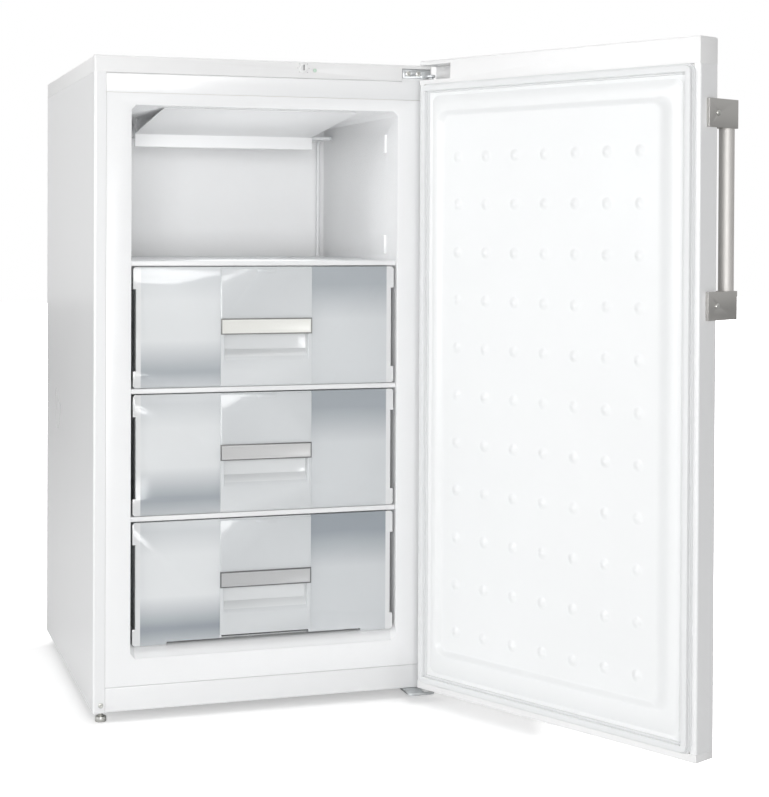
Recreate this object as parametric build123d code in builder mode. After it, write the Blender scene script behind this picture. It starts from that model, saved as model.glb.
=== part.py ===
"""An upright freezer with its door open to the right, and three clear drawers.

Millimetres, +Z up. The cabinet faces -Y. The origin is on the floor, under the middle of the
rear left foot. The door and all that it carries are drawn in the door's own plane, DOOR, so they
stand where the open door stands.
"""

import os
from math import cos, radians, sin, sqrt, tan

from build123d import *

os.makedirs("parts", exist_ok=True)

# ---- cabinet ----
WIDTH = 543.0  # side to side
DEPTH = 580.0  # front face to the rear edge of the side panels
BODY_HEIGHT = 1005.0  # bottom edge to top face
FOOT_HEIGHT = 16.0  # floor to the bottom edge
SHEET = 1.0  # steel of the panels
PANEL_CORNER = 3.0  # bend radius of the side panels, on the middle of the sheet
FRONT_FLANGE = 18.0  # side panel's strip beside the liner frame
REAR_FLANGE = 15.0
SEAM = 0.3  # joint line between neighbouring pieces
FOAM_GAP = 0.3  # foam to the shell that holds it

# ---- top cap and fascia ----
CAP_HEIGHT = 26.0
CAP_WALL = 2.5
CAP_CORNER = 3.0
CAP_EDGE = 2.5
CAP_RIBS = 3
CAP_RIB_PITCH = 130.0
CAP_RIB_HEIGHT = 14.0
FASCIA_DEPTH = 12.0
FASCIA_PROUD = 1.5  # fascia in front of the flanges
FASCIA_CORNER = 3.5
FASCIA_FLOOR = 2.0
DIAL_FROM_LEFT = 328.0
DIAL_UNDER_TOP = 10.5
DIAL_RADIUS = 7.5
DIAL_HEIGHT = 4.0
DIAL_EDGE = 1.0
DIAL_FLUTES = 24
DIAL_SLOT = (1.6, 0.8)
DIAL_STEM_LENGTH = 22.0
DIAL_STEM = 3.0  # radius
DIAL_PLAY = 0.1  # radial, stem in the fascia and in the thermostat
DIAL_LIFT = 0.4  # dial's back clear of the fascia
LENS_RADIUS = 3.0
LENS_PROUD = 0.6
LENS_PLAY = 0.1
LENS_SIDES = 12
LENS_FROM_DIAL = 19.0
LENS_BELOW_DIAL = 3.0
THERMOSTAT = (36.0, 28.0, 22.0)
THERMOSTAT_SOCKET = 12.0
SOCKET_SIDES = 12

# ---- opening and liner ----
OPENING_SIDE = 57.0  # cabinet side to opening
OPENING_UNDER_TOP = 75.0
SILL_HEIGHT = 78.0  # bottom edge to the front edge of the sill
SILL_RISE = 18.0
SILL_DEPTH = 16.0
LINER_SHEET = 2.0
BACK_INSULATION = 75.0  # cavity to the back panel
BAY_INSULATION = 60.0  # cavity to the machine bay in front of it
STEP_INSULATION = 36.0  # machine bay's roof to the step's floor
CAVITY_ROUND = 20.0  # corners seen from the side
CAVITY_BEVEL = 7.0  # corners seen from the front
SILL_ROUND = 12.0
CAVITY_PAST = 40.0  # the cavity's shape past the front face
FRAME_UNDER_TOP = 56.0  # top to the upper edge of the liner's frame
PLINTH_HEIGHT = 38.0
PLINTH_SHEET = 1.2
PLINTH_BEND = 2.0
PLINTH_TOP_RETURN = 20.0
PLINTH_RETURN = 30.0
HEADER_RETURN = 25.0

# ---- shelves: plates on ledges, with the cooling tube under them ----
SHELF_COUNT = 3
SHELF_PITCH = 197.0
LOWEST_SHELF = 31.0  # step's floor to the lowest shelf's face
SHELF_BACK = 42.0  # plates to the cavity's back
SHELF_SETBACK = 13.0  # front face to the plates
PLATE = 1.5
LEDGE_WIDTH = 8.0
LEDGE_HEIGHT = 9.0
LEDGE_SETBACK = 30.0
TRIM_HEIGHT = 8.0
TRIM_NOSE = 6.0
TRIM_SETBACK = 7.0
TRIM_ROUND = 1.5
TUBE = 3.0  # radius of the evaporator tube
TUBE_SEAT = 0.1  # tube to plate
TUBE_BEND = 10.0
TUBE_SIDES = 6
BEND_FLATS = 2  # flats of a quarter turn
TUBE_EDGE = 18.0  # turns on the left to the cavity's side
TUBE_PITCH = 84.0
TUBE_RUNS = 4
TUBE_BACK = 62.0  # cavity's back to the rearmost run
TUBE_TURN = 7.0  # turns on the right to the inner riser
RISER_EDGE = 13.0  # outer riser to the cavity's right side
RISER_BACK = 14.0
RISER_PITCH = 14.0
BOSS = (3.0, 14.0, 30.0)  # moulded pads on the side walls, near the front
BOSS_SETBACK = 66.0
BOSS_DROPS = (49.0, 214.0)  # ceiling to the pads' middles

# ---- plate under the ceiling, and the bar at its front edge ----
CEILING_PLATE_GAP = 32.0  # ceiling to the plate's lower face
CEILING_PLATE_WIDTH = 306.0
CEILING_PLATE_DEPTH = 88.0
CEILING_TUBE_PITCH = 40.0
CEILING_TUBE_EDGE = 70.0
CEILING_TUBE_FRONT = 16.0  # foremost run to the plate's front edge
COVER_WIDTH = 314.0
COVER_SHEET = 2.0
COVER_SETBACK = 306.0  # front face to the bar
COVER_BAR = (5.0, 24.0)  # thickness and height
COVER_BAR_DROP = 26.0  # ceiling to the bar's top
COVER_START = 40.0  # front face to the front edge of the cover
HANGER = (6.0, 10.0)

# ---- machine bay, back, tray ----
BAY_FRONT = 348.0  # front face to the bay
BAY_HEIGHT = 230.0  # bottom edge to the bay's roof
BACK_PANEL = 515.0  # front face to the back panel
BACK_RIBS = 3
BACK_RIB_PITCH = 150.0
BACK_RIB = 46.0
BACK_RIB_ENDS = 54.5  # above and below the ribs
BACK_RIB_CORNER = 14.0
BACK_RIB_DEPTH = 3.0
BACK_RIB_SLOPE = 40.0
TRAY_LIFT = 3.0  # bottom edge to the tray
TRAY_SHEET = 1.5
TRAY_WALL = 18.0
TRAY_BEND = 2.5
TRAY_INSET = 8.0
BEND = 5.0

# ---- compressor ----
COMPRESSOR = (92.0, 66.0, 150.0)  # half length, half width, height
COMPRESSOR_FROM_RIGHT = 170.0
COMPRESSOR_FROM_BAY = 112.0
COMPRESSOR_SIDES = 16
COMPRESSOR_STRAIGHT = 82.0  # upright part of the shell
COMPRESSOR_TAPERS = ((22.0, 18.0), (12.0, 52.0))  # height, angle, to both ends
WELD_FLANGE = (3.0, 4.0)  # reach, height
COMPRESSOR_PLATE = (214.0, 116.0, 3.0)
GROMMET_PITCH = (188.0, 90.0)
GROMMET_RADIUS = 10.0
GROMMET_HEIGHT = 12.0
GROMMET_BOLT = 3.0
GROMMET_BEVEL = 2.0
GROMMET_SIDES = 8
BOLT_ABOVE = 5.0
STUB = (5.0, 20.0)
STUB_SHIFT = (48.0, 30.0)
RELAY_COVER = (30.0, 46.0, 56.0)
RELAY_REACH = 14.0
RELAY_LIFT = 12.0
RELAY_EDGE = 3.0

# ---- condenser and lines ----
CONDENSER_STAND_OFF = 26.0  # back panel to the tube
CONDENSER_TUBE = 2.5
CONDENSER_BEND = 12.0
CONDENSER_RUNS = 9
CONDENSER_OVER_BAY = 97.0  # bay's roof to the lowest run
CONDENSER_EDGE = 48.0
CONDENSER_TOP = 70.0  # top to the uppermost run
WIRE = 0.8
WIRE_SEAT = 0.1
WIRE_EDGE = 27.5  # tube's turns to the outer wires
WIRE_COUNT = 15
WIRE_OVERHANG = 14.0
CONDENSER_BRACKET = (8.0, 2.0, 14.0)
BRACKET_FROM_TURN = 18.0
DRIER = (9.0, 90.0)  # radius, length
DRIER_NECK = 5.0
DRIER_SIDES = 12
DRIER_DROP = 53.0  # last condenser run to the drier
LINE_RISE = 25.0
LINE_BEND = 10.0
LINE_EDGE = 20.0  # side of the cabinet to the discharge line
LIQUID_ENTRY_DEPTH = 60.0
SUCTION_RUN = 105.0
LINE_TUBE = 2.5
SUCTION_TUBE = 4.0

# ---- feet ----
REAR_FOOT_X = 20.0  # from the side
REAR_FOOT_Y = 45.0  # from the rear edge
REAR_FOOT_RADIUS = 12.0
REAR_FOOT_TAPER = 5.0
FOOT_EDGE = 1.5
FOOT_SIDES = 16
FRONT_FOOT_INSET = 14.0
FRONT_FOOT_RADIUS = 9.0
FRONT_FOOT_BASE = 9.0
FOOT_STUD = 4.0
FOOT_STUD_ABOVE = 16.0
STUD_PLAY = 0.1
NUT_HEIGHT = 6.0
NUT_RADIUS = 7.5
STUD_SIDES = 12
STUD_PASS = 0.6  # stud in the plates below its nut

# ---- hinges ----
HINGE_INSET = 10.0  # axis to the cabinet's side
HINGE_FORWARD = 25.0  # axis to the front face
PIN = 4.0
PIN_PLAY = 0.05
HINGE_PLATE = 4.0
ARM_HALF_WIDTH = 7.0
ARM_SIDES = 12
ARM_UNDER_TOP = 17.0  # cabinet top to the arm's upper face
UPPER_PIN = 24.0
LOWER_PIN = 22.0
HINGE_LEG = (47.0, 14.0, 3.0)
LEG_LIFT = 5.0  # fascia's lower edge to the leg
HINGE_CLEAR = 0.5  # leg to the fascia's cut-out
HINGE_CUT_UNDER_TOP = 6.0
LEG_SCREWS = (24.0, 41.0)  # from the cabinet's right side
LOWER_PLATE = (44.0, 34.0, 30.0)  # width, reach to the front, reach to the back
LOWER_PLATE_CORNER = 4.0
LOWER_SCREW_SIDE = 38.0
LOWER_SCREW_BACK = (10.0, 24.0)
SCREW = 2.2
SCREW_HEAD = (4.0, 1.6)
HEAD_TAPER = 25.0
SCREW_PLAY = 0.1
SCREW_SIDES = 8
SHORT_SCREW = 8.0
FLANGE_SCREW = (12.0, 11.6)  # from the cabinet's side, from its bottom edge

# ---- door ----
DOOR_OPEN = 116.0  # degrees, as it stands
DOOR_GAP = 10.0  # front face to the door's inner face, closed
DOOR_THICKNESS = 42.0
DOOR_CLEAR_BOTTOM = 6.0  # cabinet's bottom edge to the door
DOOR_PAST_TOP = 5.0
DOOR_CORNER = 2.0
DOOR_RETURN = 10.0
DOOR_CAP_TOP = 38.0
DOOR_CAP_BOTTOM = 12.0
DOOR_CAP_WALL = 2.5
DOOR_CAP_EDGE = 2.0
DOOR_CAP_HOLLOWS = 3
BUSHING = 7.0  # axis to its flats
BUSHING_SIDES = 8
BUSHING_FLANGE = (2.0, 1.5)  # past the flats, height
BUSHING_PAST_PIN = 2.0
BUSHING_REST = 0.2
BUSHING_PLAY = 0.1
NOTCH_LENGTH = 67.0  # hinge notch in the top cap
NOTCH_HEIGHT = 24.0
NOTCH_ROOF = 7.0
NOTCH_FRONT = 5.0
DOOR_LINER = 2.0

# ---- recessed panel of the door liner and its domes ----
PANEL_SIDE = 37.0  # door edges to the panel
PANEL_FREE_SIDE = 45.0
PANEL_UNDER_TOP = 80.0
PANEL_OVER_BOTTOM = 59.0
PANEL_DEPTH = 8.0
PANEL_SLOPE = 10.0
PANEL_FREE_SLOPE = 33.0
PANEL_CORNER_CUT = 7.0
DOME_COLUMNS = 7
DOME_ROWS = 11
DOME_EDGE = 30.5  # flat field's sides to the outer domes
DOME_ENDS = (42.0, 75.0)  # panel's lower and upper edge to the end rows
DOME_RADIUS = 9.0
DOME_HEIGHT = 4.0
DOME_SIDES = 6
DOME_TAPER = 32.0

# ---- gasket ----
GASKET_INSET = 15.0  # door sides to the middle of the gasket
GASKET_FOOT = (15.0, 3.0)
GASKET_BULB = 10.0
GASKET_CLEAR = 0.3  # to the cabinet's front face, closed
GASKET_UNDER_TOP = 45.0
GASKET_OVER_BOTTOM = 18.0
GASKET_SOFT = 2.0

# ---- handle ----
HANDLE_TUBE = 11.0  # radius
HANDLE_SIDES = 20
HANDLE_SPAN = 268.0  # between the middles of the brackets
HANDLE_UNDER_TOP = 105.0  # door's top to the middle of the upper bracket
HANDLE_OUT = 31.0  # door's front to the tube's middle
HANDLE_IN = 7.0  # door's free edge to the tube's middle
BRACKET_HEIGHT = 40.0
BRACKET_PLATE = 5.0
BRACKET_START = 0.0
BRACKET_WRAP = 13.0  # tube's middle to the bracket's end
BRACKET_CORNER = 2.5
HANDLE_SCREW_OUT = 21.5
HANDLE_SCREW = 16.0
SOCKET_DEPTH = 8.0
TUBE_PLAY = 0.2

# ---- drawers ----
DRAWER_SIDE_GAP = 4.0  # front to the cavity's side
DRAWER_SETBACK = 6.0
DRAWER_OVER = 1.0  # front to the shelf or floor under it
DRAWER_UNDER = 1.5  # front to the shelf over it
DRAWER_SKIN = 2.5
DRAWER_RIM = 12.0
BASKET_SIDE_GAP = 18.0
BASKET_BACK = 59.5  # cavity's back to the upper baskets
BOTTOM_BASKET_BACK = 28.0
BASKET_HEIGHT = 150.0
BASKET_CORNER = 9.0
BASKET_TAPER = 2.0
BASKET_LIP = 4.0
BASKET_WALL = 2.0
BASKET_EDGE = 4.0
FRONT_CORNER = 3.0
RIM_CORNER = 1.5
SLIDE_GAP = 0.4
EAR_TOP = 34.0
EAR_BOTTOM = 26.0
EAR_CUT = 4.5
CENTRE_WIDTH = 147.0
CENTRE_PROUD = 2.5
STRIP_HEIGHT = 25.0
STRIP_THICK = 2.4
STRIP_LIP = (7.0, 2.0)
STRIP_RECESS = (4.0, 0.6)
STRIP_REST = 6.0
GRIP_DEPTH = 16.0
GRIP_BELOW = 40.0
GRIP_UNDER_STRIP_TOP = 3.0
TAB = (30.0, 5.0)
TAB_PROUD = 1.5
TAB_DOWN = 4.0
FRONT_UNDERCUT = ((314.0, 4.0), (141.0, 9.0))  # steps along the bottom drawer's lower edge

# ---- places that follow ----
LEFT = -REAR_FOOT_X
RIGHT = LEFT + WIDTH
MID_X = (LEFT + RIGHT) / 2
BACK = REAR_FOOT_Y
FRONT = BACK - DEPTH
BASE = FOOT_HEIGHT
TOP = BASE + BODY_HEIGHT
CAP_BOTTOM = TOP - CAP_HEIGHT

OPENING_LEFT = LEFT + OPENING_SIDE
OPENING_RIGHT = RIGHT - OPENING_SIDE
OPENING_WIDTH = OPENING_RIGHT - OPENING_LEFT
CEILING = TOP - OPENING_UNDER_TOP
SILL = BASE + SILL_HEIGHT
FLOOR = SILL + SILL_RISE
FRAME_TOP = TOP - FRAME_UNDER_TOP
PLINTH_TOP = BASE + PLINTH_HEIGHT
BAY_ROOF = BASE + BAY_HEIGHT
BAY_Y = FRONT + BAY_FRONT
BACK_Y = FRONT + BACK_PANEL
STEP = BAY_ROOF + STEP_INSULATION
LOWER_BACK = BAY_Y - BAY_INSULATION
CAVITY_BACK = BACK_Y - BACK_INSULATION
RISER_X = (OPENING_RIGHT - RISER_EDGE - RISER_PITCH, OPENING_RIGHT - RISER_EDGE)
RISER_Y = CAVITY_BACK - RISER_BACK
SHELF_TOPS = [STEP + LOWEST_SHELF + (SHELF_COUNT - 1 - n) * SHELF_PITCH for n in range(SHELF_COUNT)]
PLATE_X = (OPENING_LEFT + SEAM, OPENING_RIGHT - SEAM)
PLATE_Y = (FRONT + SHELF_SETBACK + SEAM, CAVITY_BACK - SHELF_BACK)

HINGE_X = RIGHT - HINGE_INSET
HINGE_Y = FRONT - HINGE_FORWARD
TRAVEL = radians(DOOR_OPEN)
DOOR = Plane(origin=(HINGE_X, HINGE_Y, 0), x_dir=(-cos(TRAVEL), -sin(TRAVEL), 0), z_dir=(0, 0, 1))
DOOR_INNER = DOOR_GAP - HINGE_FORWARD  # along DOOR's y, which points out of the door's front
DOOR_OUTER = DOOR_INNER + DOOR_THICKNESS
DOOR_HINGE_EDGE = -HINGE_INSET
DOOR_FREE_EDGE = WIDTH - HINGE_INSET
DOOR_BOTTOM = BASE + DOOR_CLEAR_BOTTOM
DOOR_TOP = TOP + DOOR_PAST_TOP
SKIN_BOTTOM = DOOR_BOTTOM + DOOR_CAP_BOTTOM
SKIN_TOP = DOOR_TOP - DOOR_CAP_TOP

FRONT_FACE = Plane(origin=(MID_X, FRONT, 0), x_dir=(1, 0, 0), z_dir=(0, -1, 0))
FRONT_FEET = (LEFT + FRONT_FOOT_INSET, RIGHT - FRONT_FOOT_INSET)
LEG_RIGHT = RIGHT - CAP_WALL - HINGE_CLEAR
LEG_BOTTOM = CAP_BOTTOM + LEG_LIFT
LOWER_SCREWS = [(RIGHT - LOWER_SCREW_SIDE, FRONT + back) for back in LOWER_SCREW_BACK]
COMPRESSOR_X = RIGHT - COMPRESSOR_FROM_RIGHT
COMPRESSOR_Y = BAY_Y + COMPRESSOR_FROM_BAY
STUBS_X = (COMPRESSOR_X - STUB_SHIFT[0], COMPRESSOR_X + STUB_SHIFT[0])
STUB_Y = COMPRESSOR_Y + STUB_SHIFT[1]
CONDENSER_Y = BACK_Y + SHEET + CONDENSER_STAND_OFF
CONDENSER_X = (LEFT + CONDENSER_EDGE, RIGHT - CONDENSER_EDGE)
RUN_PITCH = (TOP - CONDENSER_TOP - BAY_ROOF - CONDENSER_OVER_BAY) / (CONDENSER_RUNS - 1)
RUN_HEIGHTS = [TOP - CONDENSER_TOP - n * RUN_PITCH for n in range(CONDENSER_RUNS)]
WIRE_PITCH = (CONDENSER_X[1] - CONDENSER_X[0] - 2 * WIRE_EDGE) / (WIRE_COUNT - 1)
DRIER_TOP = RUN_HEIGHTS[-1] - DRIER_DROP
LIQUID_ENTRY = (CONDENSER_X[0], BACK_Y - LIQUID_ENTRY_DEPTH)
SUCTION_ENTRY = (STUBS_X[0] - SUCTION_RUN, STUB_Y)
DOOR_FACE = Plane(origin=DOOR.from_local_coords((0, DOOR_INNER, 0)), x_dir=DOOR.x_dir, z_dir=-DOOR.y_dir)
PANEL_U = (DOOR_HINGE_EDGE + PANEL_SIDE, DOOR_FREE_EDGE - PANEL_FREE_SIDE)
PANEL_Z = (DOOR_BOTTOM + PANEL_OVER_BOTTOM, DOOR_TOP - PANEL_UNDER_TOP)
DOMES_U = (PANEL_U[0] + PANEL_SLOPE + DOME_EDGE, PANEL_U[1] - PANEL_FREE_SLOPE - DOME_EDGE)
DOMES_Z = (PANEL_Z[0] + DOME_ENDS[0], PANEL_Z[1] - DOME_ENDS[1])
DOME_PITCH = ((DOMES_U[1] - DOMES_U[0]) / (DOME_COLUMNS - 1), (DOMES_Z[1] - DOMES_Z[0]) / (DOME_ROWS - 1))
BUSHING_ENDS = (BASE + LOWER_PIN + BUSHING_PAST_PIN, TOP - ARM_UNDER_TOP - UPPER_PIN - BUSHING_PAST_PIN)
NOTCH_FLOOR = DOOR_TOP - NOTCH_ROOF - NOTCH_HEIGHT
HANDLE_Z = (DOOR_TOP - HANDLE_UNDER_TOP - HANDLE_SPAN, DOOR_TOP - HANDLE_UNDER_TOP)
HANDLE_U = DOOR_FREE_EDGE - HANDLE_IN
HANDLE_V = DOOR_OUTER + HANDLE_OUT


# ---- helpers ----
def bar(x, y, z, mode=Mode.ADD):
    """A block between two places on each axis, in the plane of the piece being made."""
    with Locations((sum(x) / 2, sum(y) / 2, sum(z) / 2)):
        Box(abs(x[1] - x[0]), abs(y[1] - y[0]), abs(z[1] - z[0]), mode=mode)


def post(x, y, z, radius, mode=Mode.ADD):
    """An upright round bar from z[0] to z[1]."""
    with Locations((x, y, (z[0] + z[1]) / 2)):
        Cylinder(radius, z[1] - z[0], mode=mode)


def peg(x, y, z, radius, sides):
    """An upright bar of equal sides from z[0] to z[1], whose flats lie at radius."""
    with BuildPart() as upright:
        with BuildSketch(Plane(origin=(x, y, z[0]))):
            RegularPolygon(radius, sides, major_radius=False)
        extrude(amount=z[1] - z[0])
    return upright.part


def boss(radius, sides, height, lean):
    """A boss that stands on the origin, whose sides lean in by an angle."""
    with BuildPart() as raised:
        with BuildSketch():
            RegularPolygon(radius, sides)
        extrude(amount=height, taper=lean)
    return raised.part


def around(middle, size):
    """The (low, high) pair of a length about its middle."""
    return middle - size / 2, middle + size / 2


def plate(width, height, corner):
    """A rectangle whose corners are cut."""
    with BuildSketch() as outline:
        Rectangle(width, height)
        chamfer(outline.vertices(), length=corner)
    return outline.sketch


def turns(points, bend):
    """Points along runs at right angles, with each bend cut into a few short flats."""
    corners = [Vector(*point) for point in points]
    stops = [corners[0]]
    for before, corner, after in zip(corners, corners[1:], corners[2:]):
        arriving = (corner - before).normalized()
        leaving = (after - corner).normalized()
        centre = corner + (leaving - arriving) * bend
        for n in range(BEND_FLATS + 1):
            turn = radians(90 * n / BEND_FLATS)
            stops.append(centre + (arriving * sin(turn) - leaving * cos(turn)) * bend)
    stops.append(corners[-1])
    return stops


def pipe(points, radius, bend):
    """A tube along straight runs at right angles."""
    with BuildPart() as run:
        with BuildLine() as route:
            Polyline(*turns(points, bend))
        with BuildSketch(Plane(origin=route.line @ 0, z_dir=route.line % 0)):
            RegularPolygon(radius, TUBE_SIDES)
        sweep(transition=Transition.RIGHT)
    return run.part


def folded(points, sheet, bend, width, x_start):
    """A sheet bent along a profile seen from the side, and as wide as width."""
    with BuildPart() as piece:
        with BuildSketch(Plane.YZ.offset(x_start)) as section:
            with BuildLine():
                FilletPolyline(*points, radius=bend)
            trace(line_width=sheet)
        extrude(amount=width)
    return piece.part


def cavity(grow):
    """The cold space inside the liner, larger by grow on every side."""
    past = CAVITY_PAST + grow
    run_back = [
        (FRONT + SILL_DEPTH, FLOOR),
        (LOWER_BACK, FLOOR),
        (LOWER_BACK, STEP),
        (CAVITY_BACK, STEP),
        (CAVITY_BACK, CEILING),
        (FRONT - past, CEILING),
    ]
    with BuildPart() as space:
        with BuildSketch(Plane.YZ.offset(OPENING_LEFT - grow)) as side_view:
            with BuildLine():
                Polyline((FRONT - past, SILL), (FRONT, SILL), *turns(run_back, CAVITY_ROUND), close=True)
            make_face()
            sill_edges = [v for v in side_view.vertices() if FRONT - 1 < v.X < FRONT + SILL_DEPTH + 1]
            fillet(sill_edges, radius=SILL_ROUND)
            if grow:
                offset(amount=grow, kind=Kind.INTERSECTION)
        extrude(amount=OPENING_WIDTH + 2 * grow)
        ends = space.faces().sort_by(Axis.X)
        chamfer(ends[0].edges() + ends[-1].edges(), length=CAVITY_BEVEL + grow * (2 - sqrt(2)))
    return space.part


def screw(place, length):
    """A pan head screw; place's normal points out of the head's underside."""
    with BuildPart() as fastener:
        with Locations(place):
            add(boss(SCREW_HEAD[0], SCREW_SIDES, SCREW_HEAD[1], HEAD_TAPER))
        with BuildSketch(place):
            RegularPolygon(SCREW, SCREW_SIDES)
        extrude(amount=-length)
    return fastener.part


def bore(place, depth):
    """What a screw's hole takes away, depth to both sides of place."""
    with BuildPart() as drilled:
        with BuildSketch(place.offset(depth)):
            RegularPolygon(SCREW + SCREW_PLAY, SCREW_SIDES, major_radius=False)
        extrude(amount=-2 * depth)
    return drilled.part


def upper_screws():
    """Planes of the upper hinge's screws, on the cabinet's front face."""
    z = LEG_BOTTOM + HINGE_LEG[1] / 2
    return [Plane(origin=(RIGHT - side, FRONT, z), z_dir=(0, -1, 0)) for side in LEG_SCREWS]


def grommet_places():
    """Middles of the compressor's four grommets."""
    return [
        (COMPRESSOR_X + i * GROMMET_PITCH[0] / 2, COMPRESSOR_Y + j * GROMMET_PITCH[1] / 2)
        for i in (-1, 1)
        for j in (-1, 1)
    ]


def oval(grow):
    """Corners of the compressor's flat-sided outline, larger by grow."""
    steps = [radians(360 * n / COMPRESSOR_SIDES) for n in range(COMPRESSOR_SIDES)]
    return [((COMPRESSOR[0] + grow) * cos(step), (COMPRESSOR[1] + grow) * sin(step)) for step in steps]


def shell_half():
    """The compressor's shell above its seam, which lies at the origin."""
    with BuildPart() as half:
        with BuildSketch():
            Polygon(*oval(0))
        extrude(amount=COMPRESSOR_STRAIGHT / 2)
        for height, angle in COMPRESSOR_TAPERS:
            extrude(half.faces().sort_by(Axis.Z)[-1], amount=height, taper=angle)
    return half.part


def cooling_level(z, runs, pitch, left_edge):
    """Corners of one level of the cooling tube, from the inner riser to the outer one."""
    first = CAVITY_BACK - TUBE_BACK
    x_left = OPENING_LEFT + left_edge
    corners = [(RISER_X[0], RISER_Y, z), (RISER_X[0], first, z)]
    for n in range(0, runs, 2):
        y_out = first - n * pitch
        x_turn = RISER_X[0] - TUBE_TURN if n + 2 < runs else RISER_X[1]
        corners += [(x_left, y_out, z), (x_left, y_out - pitch, z), (x_turn, y_out - pitch, z)]
        if n + 2 < runs:
            corners.append((x_turn, y_out - 2 * pitch, z))
    corners.append((RISER_X[1], RISER_Y, z))
    return corners


def recess(grow):
    """The recessed panel of the door liner, in the door's own coordinates, larger by grow."""
    depth = PANEL_DEPTH + grow
    wide = PANEL_U[1] - PANEL_U[0] + 2 * grow
    high = PANEL_Z[1] - PANEL_Z[0] + 2 * grow
    floor_u = (PANEL_SLOPE, wide - PANEL_FREE_SLOPE)
    floor_z = (PANEL_SLOPE, high - PANEL_SLOPE)
    with BuildPart() as hollow:
        with Locations((PANEL_U[0] - grow, DOOR_INNER, PANEL_Z[0] - grow)):
            Wedge(wide, depth, high, floor_u[0], floor_z[0], floor_u[1], floor_z[1], align=Align.MIN)
        slanted = hollow.edges().filter_by(lambda e: abs(e.center().Y - DOOR_INNER - depth / 2) < 1)
        chamfer(slanted, length=PANEL_CORNER_CUT)
    return hollow.part


def domes():
    """The raised domes of the recessed panel, in the door's own coordinates."""
    foot = (sum(DOMES_U) / 2, DOOR_INNER + PANEL_DEPTH + DOOR_LINER / 2, sum(DOMES_Z) / 2)
    with BuildPart() as field:
        with Locations(Plane(origin=foot, x_dir=(1, 0, 0), z_dir=(0, -1, 0))):
            with GridLocations(*DOME_PITCH, DOME_COLUMNS, DOME_ROWS):
                add(boss(DOME_RADIUS, DOME_SIDES, DOME_HEIGHT + DOOR_LINER / 2, DOME_TAPER))
    return field.part


def outward_uprights(piece):
    """Upright edges of a door piece that stand at the door's front."""
    uprights = piece.edges().filter_by(Axis.Z)
    return uprights.filter_by(lambda e: DOOR.to_local_coords(e.center()).Y > DOOR_OUTER - 1)


def hollow_out(z):
    """Hollows of a door cap between its ribs, over the heights z."""
    start = DOOR_HINGE_EDGE + NOTCH_LENGTH + DOOR_CAP_WALL
    pitch = (DOOR_FREE_EDGE - start) / DOOR_CAP_HOLLOWS
    for n in range(DOOR_CAP_HOLLOWS):
        length = (start + n * pitch, start + (n + 1) * pitch - DOOR_CAP_WALL)
        bar(length, (DOOR_INNER + DOOR_CAP_WALL, DOOR_OUTER - DOOR_CAP_WALL), z, mode=Mode.SUBTRACT)


def handle_screw_planes():
    """Where the heads of the handle's screws rest, in the door's own coordinates."""
    return [
        Plane(origin=(DOOR_FREE_EDGE + BRACKET_PLATE, HANDLE_SCREW_OUT, z), z_dir=(1, 0, 0))
        for z in HANDLE_Z
    ]


def bushing_seat(z, grow):
    """A bushing's body, or its seat, over the heights z."""
    return peg(0, 0, z, BUSHING + grow, BUSHING_SIDES)


def gasket_ring(wide, height):
    """One flat-sided ring of the gasket, wide across and height thick, on the plane in use."""
    length_u = DOOR_FREE_EDGE - DOOR_HINGE_EDGE - 2 * GASKET_INSET
    low_z = DOOR_BOTTOM + GASKET_OVER_BOTTOM
    high_z = DOOR_TOP - GASKET_UNDER_TOP
    with Locations(((DOOR_HINGE_EDGE + DOOR_FREE_EDGE) / 2, (low_z + high_z) / 2)):
        Rectangle(length_u + wide, high_z - low_z + wide)
        Rectangle(length_u - wide, high_z - low_z - wide, mode=Mode.SUBTRACT)
    return height


def basket(shelf, back):
    """Floor and three walls of a drawer, wider at the top; the drawer's front closes it."""
    start = FRONT + DRAWER_SETBACK + DRAWER_SKIN
    spread = BASKET_HEIGHT * tan(radians(BASKET_TAPER))
    past = BASKET_CORNER + BASKET_LIP
    wide = OPENING_WIDTH - 2 * BASKET_SIDE_GAP - 2 * spread
    deep = back - start + past - spread
    middle = (MID_X, start - past + deep / 2)
    floor_plane = Plane.XY.offset(shelf + SLIDE_GAP)
    inner_cut = BASKET_CORNER - BASKET_WALL * (2 - sqrt(2))
    with BuildPart() as tub:
        with BuildSketch(floor_plane):
            with Locations(middle):
                add(plate(wide, deep, BASKET_CORNER))
        extrude(amount=BASKET_HEIGHT, taper=-BASKET_TAPER)
        chamfer(tub.faces().sort_by(Axis.Z)[0].edges(), length=BASKET_EDGE)
        with BuildSketch(floor_plane.offset(BASKET_HEIGHT - BASKET_WALL)):
            with Locations(middle):
                grown = 2 * (spread + BASKET_LIP)
                add(plate(wide + grown, deep + grown, BASKET_CORNER))
        extrude(amount=BASKET_WALL)
        with BuildSketch(floor_plane.offset(BASKET_WALL)):
            with Locations(middle):
                add(plate(wide - 2 * BASKET_WALL, deep - 2 * BASKET_WALL, inner_cut))
        extrude(amount=BASKET_HEIGHT, taper=-BASKET_TAPER, mode=Mode.SUBTRACT)
        bar((LEFT, RIGHT), (FRONT - 2 * past, start), (shelf, shelf + 2 * BASKET_HEIGHT), mode=Mode.SUBTRACT)
    return tub.part


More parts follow.
